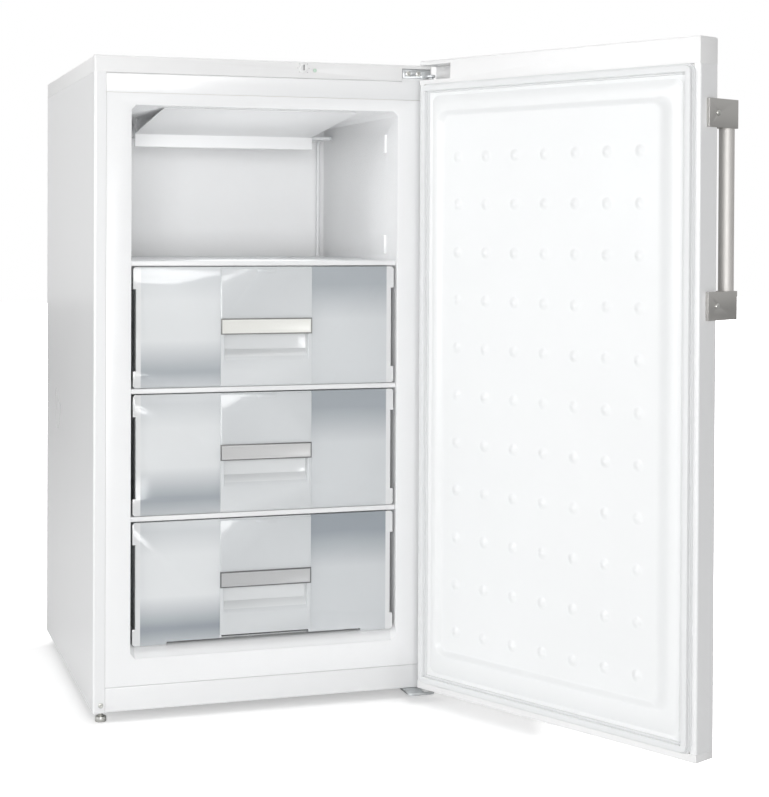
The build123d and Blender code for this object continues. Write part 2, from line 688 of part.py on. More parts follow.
def grip(grow, strip_z):
    """The finger pocket in a drawer's front, larger by grow."""
    mouth = FRONT + DRAWER_SETBACK - CENTRE_PROUD
    back = mouth + GRIP_DEPTH
    top = strip_z + STRIP_HEIGHT / 2 - GRIP_UNDER_STRIP_TOP
    low = strip_z - STRIP_HEIGHT / 2 - GRIP_BELOW
    wide = CENTRE_WIDTH - 2 * STRIP_REST
    with BuildPart() as pocket:
        with BuildSketch(Plane.YZ.offset(MID_X - wide / 2 - grow)):
            with BuildLine():
                Polyline(
                    (mouth, low - grow),
                    (mouth, top + grow),
                    (back + grow, top + grow),
                    (back + grow, low + GRIP_DEPTH),
                    close=True,
                )
            make_face()
        extrude(amount=wide + 2 * grow)
    return pocket.part


# ---- cabinet shell ----
with BuildPart() as left_side_panel:
    with BuildSketch(Plane.XY.offset(BASE)):
        with BuildLine():
            FilletPolyline(
                (LEFT + FRONT_FLANGE, FRONT + SHEET / 2),
                (LEFT + SHEET / 2, FRONT + SHEET / 2),
                (LEFT + SHEET / 2, BACK - SHEET / 2),
                (LEFT + REAR_FLANGE, BACK - SHEET / 2),
                radius=PANEL_CORNER,
            )
        trace(line_width=SHEET)
    extrude(amount=CAP_BOTTOM - BASE)
    screw_place = Plane(origin=(LEFT + FLANGE_SCREW[0], FRONT, BASE + FLANGE_SCREW[1]), z_dir=(0, -1, 0))
    add(bore(screw_place, 2 * SHEET), mode=Mode.SUBTRACT)

with BuildPart() as right_side_panel:
    mirror(left_side_panel.part, about=Plane.YZ.offset(MID_X))

with BuildPart() as top_cap:
    cap_front = FRONT + FASCIA_DEPTH + SEAM
    bar((LEFT, RIGHT), (cap_front, BACK), (CAP_BOTTOM, TOP))
    back_corners = top_cap.edges().filter_by(Axis.Z).group_by(Axis.Y)[-1]
    chamfer(back_corners, length=CAP_CORNER)
    top_rim = top_cap.faces().sort_by(Axis.Z)[-1].edges()
    chamfer(top_rim.filter_by(lambda e: e.center().Y > cap_front + 1), length=CAP_EDGE)
    bar(
        (LEFT + CAP_WALL, RIGHT - CAP_WALL),
        (cap_front - CAP_WALL, BACK - CAP_WALL),
        (CAP_BOTTOM - CAP_WALL, TOP - CAP_WALL),
        mode=Mode.SUBTRACT,
    )
    with Locations((MID_X, (cap_front + BACK - CAP_WALL) / 2, TOP - CAP_WALL - CAP_RIB_HEIGHT / 2)):
        with GridLocations(CAP_RIB_PITCH, 1, CAP_RIBS, 1):
            Box(CAP_WALL, BACK - CAP_WALL - cap_front, CAP_RIB_HEIGHT)
    with Locations((MID_X, (FRONT + BACK) / 2, TOP - CAP_WALL - CAP_RIB_HEIGHT / 2)):
        with GridLocations(1, 2 * CAP_RIB_PITCH, 1, 2):
            Box(WIDTH - 2 * CAP_WALL, CAP_WALL, CAP_RIB_HEIGHT)

dial_x = LEFT + DIAL_FROM_LEFT
dial_z = TOP - DIAL_UNDER_TOP
fascia_face = FRONT - FASCIA_PROUD
with BuildPart() as control_fascia:
    bar((LEFT, RIGHT), (fascia_face, FRONT + FASCIA_DEPTH), (CAP_BOTTOM, TOP))
    front_rim = control_fascia.faces().sort_by(Axis.Y)[0].edges()
    fillet(front_rim.filter_by(lambda e: e.center().Z > CAP_BOTTOM + 1), radius=FASCIA_CORNER)
    bar(
        (LEFT + CAP_WALL, RIGHT - CAP_WALL),
        (fascia_face + CAP_WALL, FRONT + FASCIA_DEPTH + CAP_WALL),
        (CAP_BOTTOM + FASCIA_FLOOR, TOP - CAP_WALL),
        mode=Mode.SUBTRACT,
    )
    bar(
        (RIGHT - CAP_WALL - HINGE_LEG[0] - 2 * HINGE_CLEAR, RIGHT - CAP_WALL),
        (fascia_face - CAP_WALL, FRONT + FASCIA_DEPTH + CAP_WALL),
        (CAP_BOTTOM - CAP_WALL, TOP - HINGE_CUT_UNDER_TOP),
        mode=Mode.SUBTRACT,
    )
    with Locations(Plane(origin=(dial_x, FRONT, dial_z), z_dir=(0, -1, 0))):
        Cylinder(DIAL_STEM + DIAL_PLAY, 4 * CAP_WALL, mode=Mode.SUBTRACT)
    lens_middle = (dial_x + LENS_FROM_DIAL, fascia_face, dial_z - LENS_BELOW_DIAL)
    lens_place = Plane(origin=lens_middle, z_dir=(0, -1, 0))
    with BuildSketch(lens_place.offset(CAP_WALL)):
        RegularPolygon(LENS_RADIUS + LENS_PLAY, LENS_SIDES)
    extrude(amount=-3 * CAP_WALL, mode=Mode.SUBTRACT)

with BuildPart() as indicator_lens:
    with BuildSketch(lens_place.offset(LENS_PROUD)):
        RegularPolygon(LENS_RADIUS, LENS_SIDES)
    extrude(amount=-(LENS_PROUD + 2 * CAP_WALL))
    chamfer(indicator_lens.faces().sort_by(Axis.Y)[0].edges(), length=LENS_PROUD)

with BuildPart() as thermostat_dial:
    with BuildSketch(Plane(origin=(dial_x, fascia_face - DIAL_LIFT, dial_z), z_dir=(0, -1, 0))):
        RegularPolygon(DIAL_RADIUS, DIAL_FLUTES)
    extrude(amount=DIAL_HEIGHT)
    chamfer(thermostat_dial.faces().sort_by(Axis.Y)[0].edges(), length=DIAL_EDGE)
    with Locations((dial_x, fascia_face - DIAL_LIFT - DIAL_HEIGHT, dial_z + DIAL_RADIUS / 2)):
        Box(DIAL_SLOT[0], 2 * DIAL_SLOT[1], DIAL_RADIUS, mode=Mode.SUBTRACT)
    with BuildSketch(Plane(origin=(dial_x, fascia_face - DIAL_LIFT, dial_z), z_dir=(0, 1, 0))):
        Circle(DIAL_STEM)
    extrude(amount=DIAL_STEM_LENGTH)

with BuildPart() as thermostat_body:
    bar(
        around(dial_x, THERMOSTAT[0]),
        (cap_front, cap_front + THERMOSTAT[1]),
        (CAP_BOTTOM, CAP_BOTTOM + THERMOSTAT[2]),
    )
    chamfer(thermostat_body.edges().filter_by(Axis.Y), length=CAP_WALL)
    with Locations(Plane(origin=(dial_x, cap_front, dial_z), z_dir=(0, -1, 0))):
        depth = (-THERMOSTAT_SOCKET, THERMOSTAT_SOCKET)
        add(peg(0, 0, depth, DIAL_STEM + DIAL_PLAY, SOCKET_SIDES), mode=Mode.SUBTRACT)

with BuildPart() as header_rail:
    add(
        folded(
            [
                (FRONT + PLINTH_SHEET / 2, FRAME_TOP),
                (FRONT + PLINTH_SHEET / 2, CAP_BOTTOM - PLINTH_SHEET / 2),
                (FRONT + HEADER_RETURN, CAP_BOTTOM - PLINTH_SHEET / 2),
            ],
            PLINTH_SHEET,
            PLINTH_BEND,
            WIDTH - 2 * FRONT_FLANGE - 2 * SEAM,
            LEFT + FRONT_FLANGE + SEAM,
        )
    )
    bar(
        (LEG_RIGHT - HINGE_LEG[0], RIGHT - FRONT_FLANGE - SEAM),
        (FRONT, FRONT + PLINTH_SHEET),
        (CAP_BOTTOM - PLINTH_BEND - PLINTH_SHEET, LEG_BOTTOM),
    )
    bar(
        (LEG_RIGHT - HINGE_LEG[0], LEG_RIGHT),
        (FRONT, FRONT + PLINTH_SHEET),
        (CAP_BOTTOM + SEAM, LEG_BOTTOM + HINGE_LEG[1]),
    )
    for place in upper_screws():
        add(bore(place, 2 * PLINTH_SHEET), mode=Mode.SUBTRACT)

with BuildPart() as top_panel:
    bar(
        (LEFT + SHEET + SEAM, RIGHT - SHEET - SEAM),
        (FRONT + HEADER_RETURN + SEAM, BACK_Y + SHEET),
        (CAP_BOTTOM - SHEET, CAP_BOTTOM),
    )

plinth_return_start = FRONT + SHEET + SEAM
with BuildPart() as plinth_rail:
    add(
        folded(
            [
                (FRONT + PLINTH_TOP_RETURN, PLINTH_TOP - PLINTH_SHEET / 2),
                (FRONT + PLINTH_SHEET / 2, PLINTH_TOP - PLINTH_SHEET / 2),
                (FRONT + PLINTH_SHEET / 2, BASE + PLINTH_SHEET / 2),
                (FRONT + PLINTH_RETURN, BASE + PLINTH_SHEET / 2),
            ],
            PLINTH_SHEET,
            PLINTH_BEND,
            WIDTH - 2 * FRONT_FLANGE - 2 * SEAM,
            LEFT + FRONT_FLANGE + SEAM,
        )
    )
    ear_length = FRONT_FLANGE + SEAM
    for ear_start in (LEFT + SHEET + SEAM, RIGHT - SHEET - SEAM - ear_length):
        bar(
            (ear_start, ear_start + ear_length),
            (plinth_return_start + PLINTH_BEND, FRONT + PLINTH_RETURN),
            (BASE, BASE + PLINTH_SHEET),
        )
    for foot_x in FRONT_FEET:
        foot_y = FRONT + FRONT_FOOT_INSET
        stud_way = peg(foot_x, foot_y, around(BASE, 4 * SHEET), FOOT_STUD + STUD_PASS, SCREW_SIDES)
        add(stud_way, mode=Mode.SUBTRACT)
    for x, y in LOWER_SCREWS:
        add(bore(Plane(origin=(x, y, BASE)), 2 * SHEET), mode=Mode.SUBTRACT)

with BuildPart() as flange_screws:
    for head_x in (LEFT + FLANGE_SCREW[0], RIGHT - FLANGE_SCREW[0]):
        place = Plane(origin=(head_x, FRONT, BASE + FLANGE_SCREW[1]), z_dir=(0, -1, 0))
        add(screw(place, SHORT_SCREW))

# ---- cold space ----
with BuildPart() as inner_liner:
    add(cavity(LINER_SHEET))
    bar(
        (LEFT + FRONT_FLANGE + SEAM, RIGHT - FRONT_FLANGE - SEAM),
        (FRONT, FRONT + LINER_SHEET),
        (PLINTH_TOP + SEAM, FRAME_TOP - SEAM),
    )
    add(cavity(0), mode=Mode.SUBTRACT)
    bar((LEFT, RIGHT), (FRONT - CAVITY_PAST - 3 * LINER_SHEET, FRONT), (BASE, TOP), mode=Mode.SUBTRACT)
    for shelf_top in SHELF_TOPS:
        for ledge_x in (OPENING_LEFT, OPENING_RIGHT - LEDGE_WIDTH):
            bar(
                (ledge_x, ledge_x + LEDGE_WIDTH),
                (FRONT + LEDGE_SETBACK, PLATE_Y[1]),
                (shelf_top - PLATE - LEDGE_HEIGHT, shelf_top - PLATE),
            )
    for drop in BOSS_DROPS:
        for boss_x in (OPENING_LEFT - LINER_SHEET, OPENING_RIGHT - BOSS[0]):
            bar(
                (boss_x, boss_x + BOSS[0] + LINER_SHEET),
                around(FRONT + BOSS_SETBACK, BOSS[1]),
                around(CEILING - drop, BOSS[2]),
            )

with BuildPart() as insulation_foam:
    bar(
        (LEFT + SHEET + FOAM_GAP, RIGHT - SHEET - FOAM_GAP),
        (FRONT + LINER_SHEET + FOAM_GAP, BACK_Y - FOAM_GAP),
        (PLINTH_TOP + SHEET + FOAM_GAP, CAP_BOTTOM - PLINTH_SHEET - FOAM_GAP),
    )
    chamfer(insulation_foam.edges().filter_by(Axis.Z), length=PANEL_CORNER)
    bar(
        (LEFT, RIGHT),
        (BAY_Y - SHEET / 2 - FOAM_GAP, BACK),
        (BASE, BAY_ROOF + SHEET / 2 + FOAM_GAP),
        mode=Mode.SUBTRACT,
    )
    bay_edge = insulation_foam.edges().filter_by(Axis.X).group_by(Axis.Z)[0].sort_by(Axis.Y)[-1]
    fillet(bay_edge, radius=BEND)
    add(cavity(LINER_SHEET + FOAM_GAP), mode=Mode.SUBTRACT)

shelf_plates = []
shelf_trims = []
for shelf_top in SHELF_TOPS:
    with BuildPart() as evaporator_plate:
        bar(PLATE_X, PLATE_Y, (shelf_top - PLATE, shelf_top))
    shelf_plates.append(evaporator_plate)
    with BuildPart() as shelf_trim:
        trim_front = FRONT + TRIM_SETBACK
        bar(PLATE_X, (trim_front, trim_front + TRIM_NOSE), (shelf_top - TRIM_HEIGHT, shelf_top))
        upper_edge = shelf_trim.edges().filter_by(Axis.X).group_by(Axis.Y)[0]
        fillet(upper_edge, radius=TRIM_ROUND)
        bar(
            PLATE_X,
            (trim_front + TRIM_NOSE / 2, FRONT + LEDGE_SETBACK - SEAM),
            (shelf_top - TRIM_HEIGHT, shelf_top - PLATE - TRIM_NOSE / 2),
        )
    shelf_trims.append(shelf_trim)

ceiling_plate_z = CEILING - CEILING_PLATE_GAP
ceiling_plate_y = CAVITY_BACK - TUBE_BACK - CEILING_TUBE_PITCH - CEILING_TUBE_FRONT
with BuildPart() as ceiling_evaporator_plate:
    bar(
        around(MID_X, CEILING_PLATE_WIDTH),
        (ceiling_plate_y, ceiling_plate_y + CEILING_PLATE_DEPTH),
        (ceiling_plate_z, ceiling_plate_z + PLATE),
    )
    hanger_y = (ceiling_plate_y, ceiling_plate_y + CEILING_PLATE_DEPTH - HANGER[1])
    hanger_x = (CEILING_PLATE_WIDTH - HANGER[0]) / 2
    for x in (MID_X - hanger_x, MID_X + hanger_x):
        for y in hanger_y:
            bar(around(x, HANGER[0]), (y, y + HANGER[1]), (ceiling_plate_z, CEILING))

with BuildPart() as ceiling_cover:
    cover_top = CEILING - COVER_BAR_DROP
    with BuildSketch(Plane.YZ.offset(MID_X - COVER_WIDTH / 2)) as cover_section:
        with BuildLine():
            Polyline(
                (FRONT + COVER_START, CEILING),
                (FRONT + COVER_SETBACK + COVER_BAR[0], cover_top),
                (FRONT + COVER_SETBACK + COVER_BAR[0], cover_top - COVER_BAR[1]),
                (FRONT + COVER_SETBACK, cover_top - COVER_BAR[1]),
                (FRONT + COVER_SETBACK, cover_top - COVER_SHEET),
                (FRONT + COVER_START, CEILING - COVER_SHEET),
                close=True,
            )
        make_face()
        lower_corners = cover_section.vertices().group_by(Axis.Y)[0]
        fillet(lower_corners, radius=COVER_BAR[0] / 3)
    extrude(amount=COVER_WIDTH)

ceiling_tube_z = ceiling_plate_z + PLATE + TUBE_SEAT + TUBE
tube_route = [(RISER_X[0], CAVITY_BACK, ceiling_tube_z)]
tube_route += cooling_level(ceiling_tube_z, 2, CEILING_TUBE_PITCH, CEILING_TUBE_EDGE)[1:]
for n, shelf_top in enumerate(SHELF_TOPS):
    level = cooling_level(shelf_top - PLATE - TUBE_SEAT - TUBE, TUBE_RUNS, TUBE_PITCH, TUBE_EDGE)
    tube_route += level if n % 2 else level[::-1]
tube_route[-1] = (tube_route[-1][0], CAVITY_BACK, tube_route[-1][2])
with BuildPart() as evaporator_tube:
    add(pipe(tube_route, TUBE, TUBE_BEND))

# ---- bottom, back and machine bay ----
with BuildPart() as machine_bay_panel:
    add(
        folded(
            [
                (FRONT + LINER_SHEET + SEAM, PLINTH_TOP + SHEET / 2),
                (BAY_Y, PLINTH_TOP + SHEET / 2),
                (BAY_Y, BAY_ROOF),
                (BACK_Y - SEAM, BAY_ROOF),
            ],
            SHEET,
            BEND,
            WIDTH - 2 * SHEET - 2 * SEAM,
            LEFT + SHEET + SEAM,
        )
    )
    for place, radius in ((LIQUID_ENTRY, LINE_TUBE), (SUCTION_ENTRY, SUCTION_TUBE)):
        way = peg(*place, around(BAY_ROOF, 4 * SHEET), radius + SEAM, TUBE_SIDES)
        add(way, mode=Mode.SUBTRACT)

with BuildPart() as back_panel:
    bar(
        (LEFT + SHEET + SEAM, RIGHT - SHEET - SEAM),
        (BACK_Y, BACK_Y + SHEET),
        (BAY_ROOF - SHEET / 2, CAP_BOTTOM - SHEET - SEAM),
    )
    rib_middle = (BAY_ROOF + CAP_BOTTOM) / 2
    rib_length = CAP_BOTTOM - BAY_ROOF - 2 * BACK_RIB_ENDS
    rib_back = Plane(origin=(MID_X, BACK_Y + SHEET, rib_middle), x_dir=(-1, 0, 0), z_dir=(0, 1, 0))
    for start, less, mode in ((0, 0, Mode.ADD), (-SHEET, SHEET, Mode.SUBTRACT)):
        with BuildSketch(rib_back.offset(start)):
            with GridLocations(BACK_RIB_PITCH, 1, BACK_RIBS, 1):
                add(plate(BACK_RIB - less, rib_length - less, BACK_RIB_CORNER))
        extrude(amount=BACK_RIB_DEPTH, taper=BACK_RIB_SLOPE, mode=mode)

tray_z = BASE + TRAY_LIFT
tray_top = tray_z + TRAY_SHEET
with BuildPart() as base_tray:
    with BuildSketch(Plane.XZ.offset(-(BACK - TRAY_INSET))):
        with BuildLine():
            FilletPolyline(
                (LEFT + SHEET + SEAM + TRAY_SHEET / 2, tray_top + TRAY_WALL),
                (LEFT + SHEET + SEAM + TRAY_SHEET / 2, tray_z + TRAY_SHEET / 2),
                (RIGHT - SHEET - SEAM - TRAY_SHEET / 2, tray_z + TRAY_SHEET / 2),
                (RIGHT - SHEET - SEAM - TRAY_SHEET / 2, tray_top + TRAY_WALL),
                radius=TRAY_BEND,
            )
        trace(line_width=TRAY_SHEET)
    extrude(amount=BACK - TRAY_INSET - BAY_Y - SHEET)
    for x, y in grommet_places():
        bolt_top = tray_top + GROMMET_HEIGHT + COMPRESSOR_PLATE[2] + BOLT_ABOVE
        add(peg(x, y, (tray_z, bolt_top), GROMMET_BOLT, SCREW_SIDES))

with BuildPart() as compressor_grommets:
    for x, y in grommet_places():
        add(peg(x, y, (tray_top, tray_top + GROMMET_HEIGHT), GROMMET_RADIUS, GROMMET_SIDES))
    chamfer(compressor_grommets.faces().filter_by(Plane.XY).edges(), length=GROMMET_BEVEL)
    for x, y in grommet_places():
        heights = (tray_z, tray_top + 2 * GROMMET_HEIGHT)
        add(peg(x, y, heights, GROMMET_BOLT + SEAM, SCREW_SIDES), mode=Mode.SUBTRACT)

plate_z = tray_top + GROMMET_HEIGHT
shell_z = plate_z + COMPRESSOR_PLATE[2]
shell_top = shell_z + COMPRESSOR[2]
weld_z = shell_z + COMPRESSOR[2] / 2
with BuildPart() as compressor:
    for turn in (0, 180):
        with Locations(Location((COMPRESSOR_X, COMPRESSOR_Y, weld_z), (turn, 0, 0))):
            add(shell_half())
    with BuildSketch(Plane(origin=(COMPRESSOR_X, COMPRESSOR_Y, weld_z))):
        Polygon(*oval(WELD_FLANGE[0]))
    extrude(amount=WELD_FLANGE[1])
    with BuildSketch(Plane(origin=(COMPRESSOR_X, COMPRESSOR_Y, plate_z))):
        add(plate(COMPRESSOR_PLATE[0], COMPRESSOR_PLATE[1], GROMMET_RADIUS))
    extrude(amount=COMPRESSOR_PLATE[2])
    for x, y in grommet_places():
        add(peg(x, y, (plate_z - 1, shell_z + 1), GROMMET_BOLT + SEAM, SCREW_SIDES), mode=Mode.SUBTRACT)
    for x in STUBS_X:
        add(peg(x, STUB_Y, (shell_top - STUB[1], shell_top + STUB[1] / 2), STUB[0], SCREW_SIDES))

with BuildPart() as relay_cover:
    cover_x = COMPRESSOR_X + COMPRESSOR[0]
    bar(
        (cover_x + RELAY_REACH - RELAY_COVER[0], cover_x + RELAY_REACH),
        around(COMPRESSOR_Y, RELAY_COVER[1]),
        around(shell_z + COMPRESSOR[2] / 2 + RELAY_LIFT, RELAY_COVER[2]),
    )
    chamfer(relay_cover.edges().group_by(Axis.X)[-1], length=RELAY_EDGE)
    add(compressor.part, mode=Mode.SUBTRACT)

condenser_route = []
for n, z in enumerate(RUN_HEIGHTS):
    ends = CONDENSER_X if n % 2 else CONDENSER_X[::-1]
    condenser_route += [(x, CONDENSER_Y, z) for x in ends]
condenser_route.append((CONDENSER_X[0], CONDENSER_Y, DRIER_TOP))
with BuildPart() as condenser_tube:
    add(pipe(condenser_route, CONDENSER_TUBE, CONDENSER_BEND))

wire_z = (RUN_HEIGHTS[-1] - WIRE_OVERHANG, RUN_HEIGHTS[0] + WIRE_OVERHANG)
wire_from_tube = CONDENSER_TUBE + WIRE + WIRE_SEAT
with BuildPart() as condenser_wires:
    for side in (-1, 1):
        with Locations((MID_X, CONDENSER_Y + side * wire_from_tube, sum(wire_z) / 2)):
            with GridLocations(WIRE_PITCH, 1, WIRE_COUNT, 1):
                Box(2 * WIRE, 2 * WIRE, wire_z[1] - wire_z[0])

with BuildPart() as condenser_brackets:
    for z in (RUN_HEIGHTS[0], RUN_HEIGHTS[-1]):
        for x in (CONDENSER_X[0] + BRACKET_FROM_TURN, CONDENSER_X[1] - BRACKET_FROM_TURN):
            bar(
                around(x, CONDENSER_BRACKET[0]),
                (BACK_Y + SHEET, CONDENSER_Y + CONDENSER_TUBE + CONDENSER_BRACKET[1]),
                around(z, CONDENSER_BRACKET[2]),
            )
    for z in (RUN_HEIGHTS[0], RUN_HEIGHTS[-1]):
        with BuildSketch(Plane(origin=(LEFT, CONDENSER_Y, z), z_dir=(1, 0, 0))):
            RegularPolygon(CONDENSER_TUBE + SEAM, TUBE_SIDES, major_radius=False)
        extrude(amount=WIDTH, mode=Mode.SUBTRACT)

with BuildPart() as filter_drier:
    drier_z = (DRIER_TOP - DRIER[1], DRIER_TOP)
    add(peg(CONDENSER_X[0], CONDENSER_Y, drier_z, DRIER[0], DRIER_SIDES))
    chamfer(filter_drier.faces().filter_by(Plane.XY).edges(), length=DRIER_NECK)

stub_end = shell_top + STUB[1] / 2
with BuildPart() as discharge_line:
    add(
        pipe(
            [
                (STUBS_X[1], STUB_Y, stub_end),
                (STUBS_X[1], STUB_Y, stub_end + LINE_RISE),
                (STUBS_X[1], CONDENSER_Y, stub_end + LINE_RISE),
                (RIGHT - LINE_EDGE, CONDENSER_Y, stub_end + LINE_RISE),
                (RIGHT - LINE_EDGE, CONDENSER_Y, RUN_HEIGHTS[0]),
                (CONDENSER_X[1], CONDENSER_Y, RUN_HEIGHTS[0]),
            ],
            LINE_TUBE,
            LINE_BEND,
        )
    )

with BuildPart() as liquid_line:
    add(
        pipe(
            [
                (CONDENSER_X[0], CONDENSER_Y, drier_z[0]),
                (CONDENSER_X[0], CONDENSER_Y, drier_z[0] - LINE_RISE),
                (LIQUID_ENTRY[0], LIQUID_ENTRY[1], drier_z[0] - LINE_RISE),
                (LIQUID_ENTRY[0], LIQUID_ENTRY[1], BAY_ROOF),
            ],
            LINE_TUBE,
            LINE_BEND,
        )
    )

with BuildPart() as suction_line:
    add(
        pipe(
            [
                (STUBS_X[0], STUB_Y, stub_end),
                (STUBS_X[0], STUB_Y, stub_end + LINE_RISE),
                (SUCTION_ENTRY[0], SUCTION_ENTRY[1], stub_end + LINE_RISE),
                (SUCTION_ENTRY[0], SUCTION_ENTRY[1], BAY_ROOF),
            ],
            SUCTION_TUBE,
            LINE_BEND,
        )
    )

# ---- feet ----
rear_feet = []
for foot_x in (LEFT + REAR_FOOT_X, RIGHT - REAR_FOOT_X):
    with BuildPart() as rear_foot:
        with BuildSketch(Plane(origin=(foot_x, BACK - REAR_FOOT_Y, 0))):
            RegularPolygon(REAR_FOOT_RADIUS, FOOT_SIDES)
        extrude(amount=tray_z, taper=REAR_FOOT_TAPER)
        chamfer(rear_foot.faces().sort_by(Axis.Z)[0].edges(), length=FOOT_EDGE)
    rear_feet.append(rear_foot)

front_feet = []
for foot_x in FRONT_FEET:
    foot_y = FRONT + FRONT_FOOT_INSET
    with BuildPart() as front_foot:
        add(peg(foot_x, foot_y, (0, FRONT_FOOT_BASE), FRONT_FOOT_RADIUS, FOOT_SIDES))
        chamfer(front_foot.faces().sort_by(Axis.Z)[0].edges(), length=FOOT_EDGE)
        add(peg(foot_x, foot_y, (FRONT_FOOT_BASE, BASE + FOOT_STUD_ABOVE), FOOT_STUD, STUD_SIDES))
    front_feet.append(front_foot)

with BuildPart() as foot_nuts:
    for foot_x in FRONT_FEET:
        with BuildSketch(Plane(origin=(foot_x, FRONT + FRONT_FOOT_INSET, BASE + PLINTH_SHEET))):
            RegularPolygon(NUT_RADIUS, 6)
            RegularPolygon(FOOT_STUD + STUD_PLAY, STUD_SIDES, major_radius=False, mode=Mode.SUBTRACT)
        extrude(amount=NUT_HEIGHT)

# ---- hinges on the cabinet ----
arm_top = TOP - ARM_UNDER_TOP
with BuildPart() as upper_hinge_bracket:
    bar(
        (LEG_RIGHT - HINGE_LEG[0], LEG_RIGHT),
        (FRONT - HINGE_LEG[2], FRONT),
        (LEG_BOTTOM, LEG_BOTTOM + HINGE_LEG[1]),
    )
    with BuildSketch(Plane.XY.offset(arm_top - HINGE_PLATE)):
        with Locations((HINGE_X, (HINGE_Y + FRONT) / 2)):
            Rectangle(2 * ARM_HALF_WIDTH, HINGE_FORWARD)
        with Locations((HINGE_X, HINGE_Y)):
            RegularPolygon(ARM_HALF_WIDTH, ARM_SIDES, major_radius=False, rotation=180 / ARM_SIDES)
    extrude(amount=HINGE_PLATE)
    post(HINGE_X, HINGE_Y, (arm_top - UPPER_PIN, arm_top), PIN)
    for place in upper_screws():
        add(bore(place, 2 * HINGE_LEG[2]), mode=Mode.SUBTRACT)

plate_middle = (RIGHT - SHEET - LOWER_PLATE[0] / 2, FRONT + (LOWER_PLATE[2] - LOWER_PLATE[1]) / 2)
with BuildPart() as lower_hinge_bracket:
    with BuildSketch(Plane.XY.offset(BASE - HINGE_PLATE)) as plate_outline:
        with Locations(plate_middle):
            Rectangle(LOWER_PLATE[0], LOWER_PLATE[1] + LOWER_PLATE[2])
        chamfer(plate_outline.vertices().group_by(Axis.Y)[0], length=LOWER_PLATE_CORNER)
    extrude(amount=HINGE_PLATE)
    stud_heights = (BASE - 2 * HINGE_PLATE, BASE + HINGE_PLATE)
    foot_y = FRONT + FRONT_FOOT_INSET
    add(peg(FRONT_FEET[1], foot_y, stud_heights, FOOT_STUD + STUD_PASS, SCREW_SIDES), mode=Mode.SUBTRACT)
    for x, y in LOWER_SCREWS:
        add(bore(Plane(origin=(x, y, BASE)), 2 * HINGE_PLATE), mode=Mode.SUBTRACT)
    post(HINGE_X, HINGE_Y, (BASE - HINGE_PLATE, BASE + LOWER_PIN), PIN)

with BuildPart() as hinge_screws:
    for place in upper_screws():
        add(screw(place.offset(HINGE_LEG[2]), SHORT_SCREW))
    for x, y in LOWER_SCREWS:
        add(screw(Plane(origin=(x, y, BASE - HINGE_PLATE), z_dir=(0, 0, -1)), SHORT_SCREW))

# ---- door ----
with BuildPart(DOOR) as door_skin:
    with BuildSketch(DOOR.offset(SKIN_BOTTOM)):
        with BuildLine():
            FilletPolyline(
                (DOOR_HINGE_EDGE + DOOR_RETURN, DOOR_INNER + SHEET / 2),
                (DOOR_HINGE_EDGE + SHEET / 2, DOOR_INNER + SHEET / 2),
                (DOOR_HINGE_EDGE + SHEET / 2, DOOR_OUTER - SHEET / 2),
                (DOOR_FREE_EDGE - SHEET / 2, DOOR_OUTER - SHEET / 2),
                (DOOR_FREE_EDGE - SHEET / 2, DOOR_INNER + SHEET / 2),
                (DOOR_FREE_EDGE - DOOR_RETURN, DOOR_INNER + SHEET / 2),
                radius=PANEL_CORNER,
            )
        trace(line_width=SHEET)
    extrude(amount=SKIN_TOP - SKIN_BOTTOM)
    for place in handle_screw_planes():
        add(bore(place.offset(-BRACKET_PLATE), 2 * SHEET), mode=Mode.SUBTRACT)

with BuildPart(DOOR) as door_top_cap:
    bar((DOOR_HINGE_EDGE, DOOR_FREE_EDGE), (DOOR_INNER, DOOR_OUTER), (SKIN_TOP, DOOR_TOP))
    chamfer(outward_uprights(door_top_cap), length=DOOR_CORNER)
    chamfer(door_top_cap.faces().sort_by(Axis.Z)[-1].edges(), length=DOOR_CAP_EDGE)
    hollow_out((SKIN_TOP - SHEET, DOOR_TOP - DOOR_CAP_WALL))
    bar(
        (DOOR_HINGE_EDGE - SHEET, DOOR_HINGE_EDGE + NOTCH_LENGTH),
        (DOOR_INNER - SHEET, DOOR_OUTER - NOTCH_FRONT),
        (NOTCH_FLOOR, DOOR_TOP - NOTCH_ROOF),
        mode=Mode.SUBTRACT,
    )
    add(bushing_seat((SKIN_TOP - SHEET, NOTCH_FLOOR + SHEET), BUSHING_PLAY), mode=Mode.SUBTRACT)

with BuildPart(DOOR) as door_bottom_cap:
    bar((DOOR_HINGE_EDGE, DOOR_FREE_EDGE), (DOOR_INNER, DOOR_OUTER), (DOOR_BOTTOM, SKIN_BOTTOM))
    chamfer(outward_uprights(door_bottom_cap), length=DOOR_CORNER)
    hollow_out((DOOR_BOTTOM + DOOR_CAP_WALL, SKIN_BOTTOM + SHEET))
    add(bushing_seat((BASE, SKIN_BOTTOM + SHEET), BUSHING_PLAY), mode=Mode.SUBTRACT)

with BuildPart(DOOR) as door_liner:
    bar(
        (DOOR_HINGE_EDGE + DOOR_RETURN + SEAM, DOOR_FREE_EDGE - DOOR_RETURN - SEAM),
        (DOOR_INNER, DOOR_INNER + DOOR_LINER),
        (SKIN_BOTTOM + SEAM, SKIN_TOP - SEAM),
    )
    add(recess(DOOR_LINER))
    add(recess(0), mode=Mode.SUBTRACT)
    add(domes())

